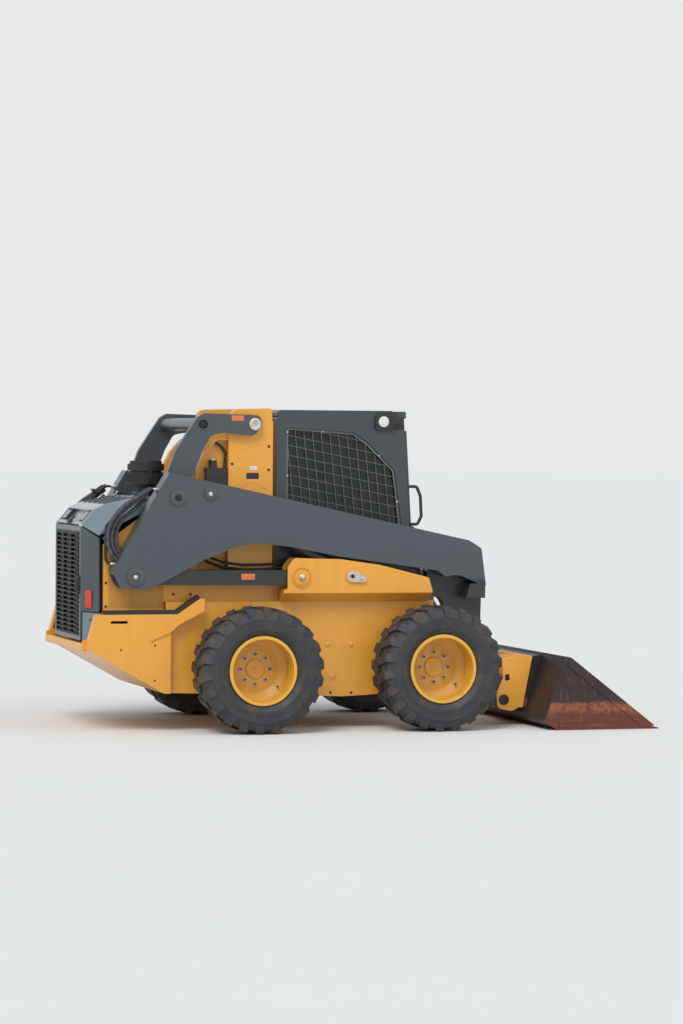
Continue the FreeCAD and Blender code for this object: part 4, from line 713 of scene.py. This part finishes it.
def pin_details():
    """Pin ends, their rings and keepers, and near-black discs and rings as painted shade in the sockets and holes on
    the linkage.
    """
    arms, rings, sockets, keepers, holes, tube_ends = (Shape() for _ in range(6))
    link_caps, dark = Shape(), Shape()
    for side in SIDES:
        axis = (0, side, 0)
        face = ARM_OUT + 8
        rings.band((-862, side * face, 1053), axis, ((0, 31), (0, 60), (3, 60), (5, 56), (5, 31)), 48)
        arms.turned((-862, side * face, 1053), axis, ((0, 15), (7, 15), (10, 12), (12, 9)), 24)
        # Painted shade: a near-black disc inside the arm's pin socket.
        sockets.turned((-571, side * 727, 1588), axis, ((-2, 23), (1.5, 23), (2, 21)), 32)
        rings.band((-571, side * face, 1588), axis, ((0, 24), (0, 54), (4, 54), (6, 50), (6, 26)), 48)
        rings.band((-345, side * face, 1616), axis, ((0, 16), (0, 43), (4, 43), (6, 40), (6, 18)), 48)
        arms.turned((-345, side * face, 1616), axis, ((0, 15), (6, 15), (8, 12), (8, 7), (12, 7), (12, 4)), 32)
        keepers.turned((304, side * 736, 1050), axis, ((-12, 20), (0, 20), (3, 17), (4, 9), (8, 9), (9, 6)), 24)
        # Painted shade: a near-black ring in the gap round the keeper's pin.
        holes.band((304, side * (ARM_OUT + 6), 1050), axis, ((0, 21), (0, 29), (2.5, 29), (2.5, 21)), 32)
        keepers.prism(rounded(((627, 1020, 33), (627, 1090, 33), (701, 1086, 27), (762, 1040, 10), (755, 1014, 10),
                               (683, 1016, 27)), 4), *sorted((side * 730, side * HOUSING_OUT)))
        keepers.band((662, side * HOUSING_OUT, 1055), axis, ((-1, 14), (-1, 24), (3, 22), (3, 14)), 24)
        # Painted shade: a near-black disc inside the keeper's hole.
        holes.turned((662, side * HOUSING_OUT, 1055), axis, ((-1, 14), (1, 14), (1.4, 12)), 24)
        keepers.turned((736, side * HOUSING_OUT, 1036), axis, ((-1, 11), (4, 11), (8, 9.5), (9, 6)), 6)
        # Painted shade: a near-black disc in the open end of the cross tube.
        tube_ends.turned((-358, side * 559, 2088), axis, ((-2, 25), (1, 25), (1.4, 23)), 32)
        link_caps.turned((8, side * 571, 2091), axis,
                         ((-6, 41), (1, 41), (3, 38), (3, 24), (1.5, 22), (1.5, 8), (6, 7)), 48)
        dark.band((304, side * (ARM_OUT + 6), 1050), axis, ((0, 60), (0, 70), (3, 68), (3, 62)), 48)
    arms.done("arm_pin_ends", SILVER, "boom")
    rings.done("arm_pin_rings", SLATE_PAINT, "boom")
    sockets.done("arm_pin_sockets", HOLE_SHADE_BLACK, "boom")
    keepers.done("housing_pin_keepers", SILVER, "frame")
    holes.done("housing_pin_holes", HOLE_SHADE_BLACK, "frame")
    tube_ends.done("cross_tube_sockets", HOLE_SHADE_BLACK, "upper_link")
    link_caps.done("tower_pin_caps", SILVER, "frame")
    dark.done("housing_pressed_rings", YELLOW, "frame")


def chassis_details():
    """The rounded bosses and the ringed plug on the chassis side between the wheels."""
    bosses, plug = Shape(), Shape()
    for side in SIDES:
        axis = (0, side, 0)
        for x, z in ((528, 580), (694, 579)):
            bosses.turned((x, side * 600, z), axis, ((-1, 17), (3, 17), (6, 13), (7, 6)), 24)
        bosses.band((566, side * 600, 363), axis, ((0, 21), (0, 30), (3, 28), (3, 23)), 32)
        plug.turned((566, side * 600, 363), axis, ((-1, 21), (2, 21), (4, 18), (5, 9), (8, 8)), 24)
    bosses.done("chassis_bosses", YELLOW, "frame")
    plug.done("chassis_plugs", YELLOW, "frame")


def coupler_details():
    """The pin bosses, and near-black sheets as painted shade in the oval slots, at the outside of the quick-attach
    frame.
    """
    boss, slot = Shape(), Shape()
    for side in SIDES:
        axis = (0, side, 0)
        boss.turned((1818, side * 586, 181), axis, ((-2, 37), (4, 37), (6, 34), (6, 27), (9, 25), (10, 12)), 32)
        # Painted shade: thin near-black sheets in the oval slots.
        slot.prism(rounded(((1826, 312, 10), (1826, 356, 10), (1856, 362, 10), (1862, 318, 10)), 4),
                   *sorted((side * 585.5, side * 587.2)))
    boss.done("coupler_bosses", BLACK_STEEL, "tool")
    slot.done("coupler_slots", HOLE_SHADE_BLACK, "tool")


GUARD_OUTER = (
    # x, z, corner radius
    (260.5, 1252.5, 28), (260.5, 2071, 28), (741, 2037, 28), (849, 1963, 28), (1038, 1778, 58), (1087.3, 1419, 58),
    (1097, 1252.5, 28),
)
GUARD_INNER = (
    (272, 1264, 20), (272, 2058, 20), (737, 2025, 20), (840, 1953, 20), (1027, 1773, 50), (1075, 1419, 50),
    (1084, 1264, 20),
)
WIRE_STEP_X = 62
WIRE_STEP_Z = 68
WIRE_FALL = math.tan(math.radians(11))
WIRE_LEAN = math.tan(math.radians(6))
WIRE_RADIUS = 2.1
WIRE_TRIM = 4
SHORTEST_WIRE = 30


def rounded(corners, steps=5):
    """An outline of (x, z, corner radius) with an arc at every corner."""
    outline = []
    for i, (x, z, radius) in enumerate(corners):
        here = Vector((x, z))
        back = (Vector(corners[i - 1][:2]) - here).normalized()
        ahead = (Vector(corners[(i + 1) % len(corners)][:2]) - here).normalized()
        half = back.angle(ahead) / 2
        reach = radius / math.tan(half)
        start = here + back * reach
        stop = here + ahead * reach
        for step in range(steps + 1):
            t = step / steps
            outline.append(tuple(start * (1 - t) ** 2 + here * 2 * t * (1 - t) + stop * t ** 2))
    return outline


def inside_span(outline, start, run):
    """The two places where a line crosses a convex outline, or none."""
    found = []
    for i, corner in enumerate(outline):
        first = Vector(corner) - start
        along = Vector(outline[(i + 1) % len(outline)]) - Vector(corner)
        cross = run.x * along.y - run.y * along.x
        if abs(cross) < 1e-9:
            continue
        t = (first.x * along.y - first.y * along.x) / cross
        share = (first.x * run.y - first.y * run.x) / cross
        if 0 <= share < 1:
            found.append(t)
    if len(found) < 2:
        return None
    return start + run * min(found), start + run * max(found)


def window_mesh():
    """The side window guards: a flat rim with tabs, and a net of leaning wires."""
    outer = rounded(GUARD_OUTER)
    inner = rounded(GUARD_INNER)
    guard = Shape()
    for side in SIDES:
        near, far = side * 450, side * 458
        ring = []
        for (x0, z0), (x1, z1) in zip(outer, inner):
            places = ((x0, near, z0), (x0, far, z0), (x1, far, z1), (x1, near, z1))
            ring.append([guard.corner(place) for place in places])
        for i, first in enumerate(ring):
            guard.wall(first, ring[(i + 1) % len(ring)])
        low, high = sorted((near, far))
        for x in (380, 900):
            guard.block((x, x + 50), (low, high), (1250.5, 1256))
        upright = Vector((-WIRE_LEAN, 1))
        level = Vector((1, -WIRE_FALL))
        lines = [(Vector((240 + WIRE_STEP_X * i, 1660)), upright, 452.6) for i in range(15)]
        lines += [(Vector((680, 1190 + WIRE_STEP_Z * i)), level, 455.4) for i in range(14)]
        for start, run, y in lines:
            ends = inside_span(outer, start, run)
            if ends is None:
                continue
            one, two = ends
            if (two - one).length < SHORTEST_WIRE:
                continue
            trim = (two - one).normalized() * WIRE_TRIM
            one, two = one + trim, two - trim
            guard.tube(((one.x, side * y, one.y), (two.x, side * y, two.y)), WIRE_RADIUS, 6)
    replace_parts(guard.done("window_guard_nets", GUARD_WIRE, "frame"), "window_guards")
    places = ((266, 1420), (266, 1740), (266, 2040), (520, 2046), (1080, 1310), (1066, 1560), (930, 1880))
    rows = [(x, 458, z, 0, 20, 0) for x, z in places]
    repeated("window_guard_bolts", BOLT, mirror_rows(rows), SILVER, "frame", 0.7)


def bolt_pattern():
    """A flanged hexagon bolt head on the origin, its axis along Y."""
    return pattern_part("bolt_pattern", lambda s: (
        s.turned((DATUM, 0, 0), (0, 1, 0), ((-1, 11), (1.2, 11), (2, 10)), 20),
        s.turned((DATUM, 1.5, 0), (0, 1, 0), ((0, 8), (6, 8), (7, 7)), 6),
        s.turned((DATUM, 8, 0), (0, 1, 0), ((0, 5), (0.6, 4)), 12),
    ), BLACK_STEEL)


BOLT = bolt_pattern()


def panel_bolts():
    """Bolt heads on the side panels, the towers, the corner blocks and the chassis side, and along the bucket's
    cutting edge.
    """
    frame_rows = []
    for y, turn, places in (
        (560, 10, ((-1030, 850), (-1030, 1010), (-1030, 1180), (-640, 1440), (-440, 1440), (-440, 930),
                   (-560, 930))),
        (TOWER_OUT, 25, ((-140, 1340), (-140, 1500), (-140, 1820), (120, 1340), (120, 1560), (120, 1780),
                         (120, 1940), (-20, 2150))),
        (600, 15, ((-620, 320), (-620, 500), (549, 249), (697, 247))),
    ):
        frame_rows += [(x, y, z, 0, turn, 0) for x, z in places]
    repeated("panel_bolts", BOLT, mirror_rows(frame_rows), BLACK_STEEL, "frame", 0.85)
    rows = [(2712, y, 22, 90, 0, 0) for y in (-900, -640, -380, -120, 120, 380, 640, 900)]
    repeated("cutting_edge_bolts", BOLT, rows, BUCKET_STEEL, "tool", 1.5)


def hood_and_door_details():
    """Lamp lenses and bezels, the hood latch, reflectors, door latch and the seal round the grille."""
    lens, bezel = Shape(), Shape()
    for side in SIDES:
        y = sorted((side * 234, side * 341))
        bezel.prism(((-1141.4, 1418.8), (-1083.2, 1487.9), (-1086.5, 1490.6), (-1144.7, 1421.5)), y[0] - 9, y[1] + 9)
        y = sorted((side * 240, side * 335))
        lens.prism(((-1139.0, 1427.5), (-1093.6, 1481.2), (-1098.0, 1485.2), (-1143.8, 1431.0)), *y)
    bezel.done("tail_lamp_bezels", BLACK_PLASTIC, "hood", bevel=1.2)
    lens.done("tail_lamp_lenses", TAIL_LENS, "hood", bevel=2)
    latch = Shape()
    latch.prism(((-1172, 1404), (-1166, 1404), (-1128, 1449), (-1134, 1455), (-1176, 1412)), -42, 42)
    latch.prism(((-1179, 1408), (-1172, 1404), (-1150, 1431), (-1156, 1437)), -17, 17)
    latch.done("hood_latch", BLACK_PLASTIC, "hood", bevel=2)
    ribs = Shape()
    for y in (-300, -150, 0, 150, 300):
        ribs.prism(((-1000, 1538.5), (-800, 1584.2), (-806, 1589), (-990, 1547)), y - 12, y + 12)
    ribs.done("hood_ribs", SLATE_PAINT, "hood", bevel=3)
    red = Shape()
    for side in SIDES:
        corners = [(x, side * y) for x, y in ((-1145.6, 455.1), (-1114.6, 508.1), (-1119, 510.7), (-1150, 457.7))]
        red.prism(corners, 839, 958, plane="XY")
    red.done("rear_reflectors", REFLECTOR, "rear_door", bevel=1)
    handle = Shape()
    handle.block((-1190, -1171), (-396, -362), (930, 1050))
    handle.prism(((-1199, 950), (-1189, 944), (-1189, 1036), (-1199, 1030)), -388, -370)
    handle.done("rear_door_latch", BLACK_PLASTIC, "rear_door", bevel=3)
    seal = Shape()
    for y, z in (((-352, 352), (1341, 1353)), ((-352, 352), (642, 654)),
                 ((-352, -341), (654, 1341)), ((341, 352), (654, 1341))):
        seal.block((-1177, -1171.5), y, z)
    seal.done("grille_surround", BLACK_PLASTIC, "rear_door", bevel=1.5)


def plates():
    """The blank plates where the photograph shows stickers, and the seams pressed into the towers."""
    rows = (
        # name, body, side faces, x span, z span, colour
        ("upper_link_plate", "upper_link", 559.4, (-157, -72), (2113, 2150), PLATE_ORANGE),
        ("control_link_plate", "control_links", 695.4, (-118, -22), (1032, 1073), PLATE_ORANGE),
        ("tower_plate_white", "frame", 512.4, (-20, 38), (1776, 1804), PLATE_WHITE),
        ("tower_plate_black", "frame", 512.4, (-38, 49), (1717, 1759), BLACK_PLASTIC),
    )
    for name, body, face, x, z, finish in rows:
        plate = Shape()
        for side in SIDES:
            y = sorted((side * face, side * (face + 1.2)))
            plate.block(x, y, z)
        plate.done(name, finish, body, bevel=0.4)
    seams = Shape()
    for side in SIDES:
        y = sorted((side * 511, side * 513.5))
        seams.prism(((-158, 1872), (-132, 1886), (5, 1943), (78, 1957), (144, 1951), (144, 1957), (78, 1963.5),
                     (3, 1949.5), (-134, 1892), (-158, 1879)), *y)
        arc = []
        for radius, steps in ((141, range(13)), (133, range(12, -1, -1))):
            for step in steps:
                angle = math.radians(40 + step * 10)
                arc.append((radius * math.cos(angle), 1560 + radius * math.sin(angle)))
        seams.prism(arc, *y)
    seams.done("tower_pressings", YELLOW, "frame", bevel=0.8)


def boom_hose_details():
    """Crimped ends and clamps of the hoses behind the arms."""
    ends, clamps = Shape(), Shape()
    for side in SIDES:
        for y in (612, 632, 654, 674):
            for x, z, axis, length in ((-700, 1644, (-1, 0.05, 0.06), 34), (-996, 1143, (-1, 0, 0), 30)):
                ends.turned((x, side * y, z), axis,
                            ((0, 10.5), (8, 10.5), (9, 9.4), (length, 9.4), (length + 2, 8.4)), 14)
        y = sorted((side * 598, side * 688))
        clamps.prism(((-842, 1596), (-828, 1604), (-850, 1630), (-866, 1622)), *y)
        clamps.prism(((-1064, 1300), (-1030, 1300), (-1030, 1322), (-1064, 1322)), *y)
    ends.done("hose_crimps", SILVER, "boom")
    clamps.done("hose_clamps", BLACK_STEEL, "boom", bevel=3)


CURVE_STEPS = 24


def smooth_run(points, step):
    """Places a step apart along a soft curve through the given places."""
    knots = [Vector(p) for p in points]
    knots = [knots[0] * 2 - knots[1]] + knots + [knots[-1] * 2 - knots[-2]]
    fine = []
    for i in range(1, len(knots) - 2):
        a, b, c, d = knots[i - 1:i + 3]
        for j in range(CURVE_STEPS):
            t = j / CURVE_STEPS
            fine.append(0.5 * (2 * b + (c - a) * t + (2 * a - 5 * b + 4 * c - d) * t ** 2
                               + (3 * b - a - 3 * c + d) * t ** 3))
    fine.append(knots[-2])
    run = [fine[0]]
    for place in fine[1:]:
        while (place - run[-1]).length >= step:
            run.append(run[-1] + (place - run[-1]).normalized() * step)
    return run


def hose_sleeves():
    """The coiled sleeves round the hoses that bow out behind each arm."""
    routes = (
        # sideways place, then places behind the arm
        (676, ((-752, 1650), (-853, 1588), (-936, 1530), (-1004, 1455), (-1041, 1370), (-1046, 1286), (-1020, 1204),
               (-978, 1165))),
        (655, ((-764, 1622), (-850, 1560), (-935, 1494), (-990, 1418), (-1016, 1330), (-1006, 1250), (-960, 1180))),
        (628, ((-772, 1582), (-852, 1512), (-935, 1440), (-976, 1350), (-972, 1262), (-938, 1196))),
    )
    sleeves = Shape()
    for side in SIDES:
        for y, places in routes:
            path = smooth_run([(x, side * y, z) for x, z in places], 5.5)
            rings = []
            across = Vector((0, 1, 0))
            for i, place in enumerate(path):
                radius = (15.0, 15.0, 13.4)[i % 3]
                rings.append(sleeves.ring(place, across, across.cross(direction(path, i)), radius, 14))
            sleeves.close(rings)
    sleeves.done("boom_hose_sleeves", SLEEVE, "boom", smooth=60)


CLEANER_X = -612
CLEANER_Y = 50


def cleaner_details():
    """Louvres round the pre-cleaner's bowl, its lid's ribs and knob, and the clamp below."""
    fin = pattern_part("louvre_pattern", lambda s: s.prism(
        ((DATUM - 2, -30), (DATUM + 2, -30), (DATUM + 5, 30), (DATUM + 1, 30)), -1, 5), BLACK_PLASTIC)
    rows = []
    for turn in range(0, 360, 12):
        angle = math.radians(turn)
        rows.append((CLEANER_X + 121 * math.cos(angle), CLEANER_Y + 121 * math.sin(angle), 1711,
                     0, 0, turn - 90))
    repeated("cleaner_louvres", fin, rows, BLACK_PLASTIC, "frame")
    trim = Shape()
    centre = (CLEANER_X, CLEANER_Y, 0)
    for low, inner, outer in ((1672, 121, 125), (1748, 121, 125), (1786, 127, 130)):
        trim.band(centre, (0, 0, 1), ((low, inner), (low, outer), (low + 5, outer), (low + 5, inner)), 64)
    trim.band(centre, (0, 0, 1), ((1630, 61), (1630, 66), (1644, 66), (1644, 61)), 48)
    for radius in (30, 58, 86):
        trim.band(centre, (0, 0, 1), ((1831, radius), (1831, radius + 6), (1834, radius + 5), (1834, radius + 1)), 48)
    trim.turned((CLEANER_X, CLEANER_Y, 1831), (0, 0, 1), ((0, 12), (5, 12), (7, 9)), 24)
    trim.done("cleaner_trim", BLACK_PLASTIC, "frame")


def hydraulics():
    """Fittings at the valve block, and the couplers under the near arm."""
    nipples = Shape()
    for x in (-290, -250, -205):
        nipples.turned((x, -480, 1660), (0, 0, -1), ((-2, 13), (12, 13), (13, 10), (22, 10)), 6)
    nipples.turned((-268, -478, 1842), (0, 0, 1), ((-2, 22), (4, 22), (6, 12), (14, 12), (15, 9)), 24)
    nipples.done("valve_fittings", SILVER, "frame")
    couplers = Shape()
    for i, x in enumerate((1196, 1232)):
        couplers.turned((x, -583, 1118 - i * 4), (0.4, 0, -1),
                        ((-30, 14), (-8, 14), (-6, 18), (14, 18), (16, 15), (30, 15)), 20)
    couplers.done("boom_couplers", SILVER, "boom")


def cab_details():
    """Lamp boxes and lenses, the wiper, the door's handle and the roof's ribs."""
    glass, ring = Shape(), Shape()
    outline = rounded(((892, 2056, 26), (892, 2150, 26), (926, 2186, 20), (1048, 2186, 20), (1060, 2110, 20),
                       (1024, 2056, 20)), 4)
    for side in SIDES:
        ring.prism(outline, *sorted((side * 471, side * 492)))
        ring.prism(((1030, 2062), (1030, 2147), (1102, 2147), (1106, 2066)),
                   *sorted((side * 470.4, side * 473)))
        ring.band((952, side * 492, 2117), (0, side, 0), ((-1, 37), (-1, 45), (4, 43), (4, 38)), 40)
        glass.turned((952, side * 491, 2117), (0, side, 0), ((0, 38), (3, 38), (6, 29), (8, 12)), 40)
    glass.done("cab_lamp_lenses", LAMP_LENS, "frame")
    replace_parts(ring.done("cab_lamp_boxes", BLACK_PLASTIC, "frame", bevel=2), "cab_lamps")
    wiper = Shape()
    wiper.tube(((1147, 40, 1992), (1156, 60, 1900), (1180, 110, 1600)), 5, 8)
    wiper.tube(((1170, 60, 1790), (1172, 90, 1700), (1192, 150, 1420)), 5.5, 8)
    wiper.turned((1141, 40, 1998), (1, 0, 0.05), ((-2, 16), (12, 16), (16, 10)), 20)
    wiper.done("door_wiper", BLACK_PLASTIC, "front_door")
    handle = Shape()
    handle.prism(((1196, 1390), (1212, 1386), (1226, 1290), (1212, 1288)), -392, -362)
    handle.done("door_handle", BLACK_PLASTIC, "front_door", bevel=3)
    ribs = Shape()
    for y in (-330, -110, 110, 330):
        ribs.prism(((250, 2187), (1060, 2187), (1052, 2193), (258, 2193)), y - 28, y + 28)
    ribs.done("roof_ribs", BLACK_PLASTIC, "frame", bevel=2)


def cushion(name, centre, size, lean, bulge):
    """A padded block with grooves and side bolsters, leant back by an angle."""
    steps = 20
    shape = Shape()
    grid = {}
    for face in (1, -1):
        for i in range(steps + 1):
            for j in range(steps + 1):
                u = i / steps * 2 - 1
                v = j / steps * 2 - 1
                edge = (1 - abs(u) ** 4) * (1 - abs(v) ** 4)
                groove = 0.10 * math.exp(-((abs(v) - 0.62) / 0.06) ** 2) * (face > 0)
                bolster = 0.22 * max(0.0, abs(v) - 0.62) * (face > 0)
                height = face * (0.35 + 0.65 * edge ** 0.5 + bulge * (1 - u * u) * (1 - v * v)) - groove + bolster
                local = Vector((u * size[0] / 2, v * size[1] / 2, height * size[2] / 2))
                local.rotate(Matrix.Rotation(lean, 3, "Y"))
                grid[face, i, j] = shape.corner(Vector(centre) + local)
    for face in (1, -1):
        for i in range(steps):
            for j in range(steps):
                corners = ((i, j), (i + 1, j), (i + 1, j + 1), (i, j + 1))
                shape.mesh.faces.new([grid[face, m, n] for m, n in corners])
    border = [(i, 0) for i in range(steps)] + [(steps, j) for j in range(steps)] \
        + [(i, steps) for i in range(steps, 0, -1)] + [(0, j) for j in range(steps, 0, -1)]
    shape.wall(*([grid[face, i, j] for i, j in border] for face in (1, -1)))
    return shape.done(name, VINYL, "frame", smooth=181)


def seat():
    """The operator's seat: a base cushion, a back cushion and the pan behind them."""
    for name, centre, size, lean, bulge in (
        ("seat_base_cushion", (560, 0, 1110), (400, 460, 130), -8, 0.25),
        ("seat_back_cushion", (340, 0, 1400), (500, 450, 110), -98, 0.2),
    ):
        item = cushion(name, centre, size, math.radians(lean), bulge)
        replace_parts(item, "operator_seat")
    pan = Shape()
    pan.prism(((300, 1020), (300, 1180), (262, 1640), (285, 1645), (330, 1190), (360, 1065), (750, 1062),
               (750, 1020)), -215, 215)
    pan.done("seat_pan", BLACK_PLASTIC, "frame", bevel=8)


def studio():
    """Pale floor, a soft high sun and a pale world of the floor's own tone."""
    mesh = bpy.data.meshes.new("studio_floor")
    reach = 400.0
    corners = [(x * reach, y * reach, 0) for x, y in ((-1, -1), (1, -1), (1, 1), (-1, 1))]
    mesh.from_pydata(corners, [], [(0, 1, 2, 3)])
    floor = put("studio_floor", mesh)
    plaster = Finish("studio_floor_plaster", (0.74, 0.74, 0.73), 0.95)
    plaster.fleck(plaster.noise(0.5, 3), 0.3, 0.7, 0.10, (0.70, 0.70, 0.69))
    plaster.shader.inputs["Specular IOR Level"].default_value = 0.0
    mesh.materials.append(plaster.done())
    for name, place, strength, softness in (
        ("high_sun", (-3.2, -4.6, 6.4), 1.75, 0.5),
        ("fill_sun", (6.0, -6.0, 5.0), 0.45, 1.0),
    ):
        lamp = bpy.data.lights.new(name, "SUN")
        lamp.energy = strength
        lamp.angle = softness
        item = put(name, lamp)
        item.location = place
        item.rotation_euler = (-Vector(place)).to_track_quat("-Z", "Y").to_euler()
    world = bpy.data.worlds.new("studio_sky")
    bpy.context.scene.world = world
    world.use_nodes = True
    tree = world.node_tree
    new, link = tree.nodes.new, tree.links.new
    sky = tree.nodes["Background"]
    seen = new("ShaderNodeBackground")
    for tone, colour, strength in ((sky, (0.92, 0.96, 1.0, 1), 0.62), (seen, (0.80, 0.81, 0.81, 1), 1.0)):
        set_inputs(tone, Color=colour, Strength=strength)
    ray = new("ShaderNodeLightPath")
    rays = ray.outputs["Is Camera Ray"]
    for kind in ("Is Transmission Ray", "Is Glossy Ray"):
        either = new("ShaderNodeMath")
        either.operation = "MAXIMUM"
        link(rays, either.inputs[0])
        link(ray.outputs[kind], either.inputs[1])
        rays = either.outputs[0]
    mix = new("ShaderNodeMixShader")
    link(rays, mix.inputs[0])
    link(sky.outputs[0], mix.inputs[1])
    link(seen.outputs[0], mix.inputs[2])
    link(mix.outputs[0], tree.nodes["World Output"].inputs[0])


def photo_camera():
    """A long lens to the machine's right and a little behind it, as the photograph was taken."""
    yaw = 0.291440
    pitch = -0.021630
    roll = 0.007852
    ahead = Vector((math.sin(yaw) * math.cos(pitch), math.cos(yaw) * math.cos(pitch), math.sin(pitch)))
    right = Vector((math.cos(yaw), -math.sin(yaw), 0))
    above = right.cross(ahead)
    turned_right = right * math.cos(roll) + above * math.sin(roll)
    turned_above = above * math.cos(roll) - right * math.sin(roll)
    data = bpy.data.cameras.new("photo_camera")
    data.lens = 122.54
    data.sensor_width = 36
    data.clip_end = 200
    camera = put("photo_camera", data)
    turn = Matrix((turned_right, turned_above, -ahead)).transposed().to_4x4()
    camera.matrix_world = Matrix.Translation((-7.0738, -23.5808, 2.0116)) @ turn
    bpy.context.scene.camera = camera


finish_nodes()
wheel_details()
pin_details()
chassis_details()
coupler_details()
window_mesh()
panel_bolts()
hood_and_door_details()
plates()
boom_hose_details()
hose_sleeves()
cleaner_details()
hydraulics()
cab_details()
seat()
for pattern in PATTERNS:
    bpy.data.objects.remove(pattern)
studio()
photo_camera()
bpy.context.scene.view_settings.view_transform = "Standard"
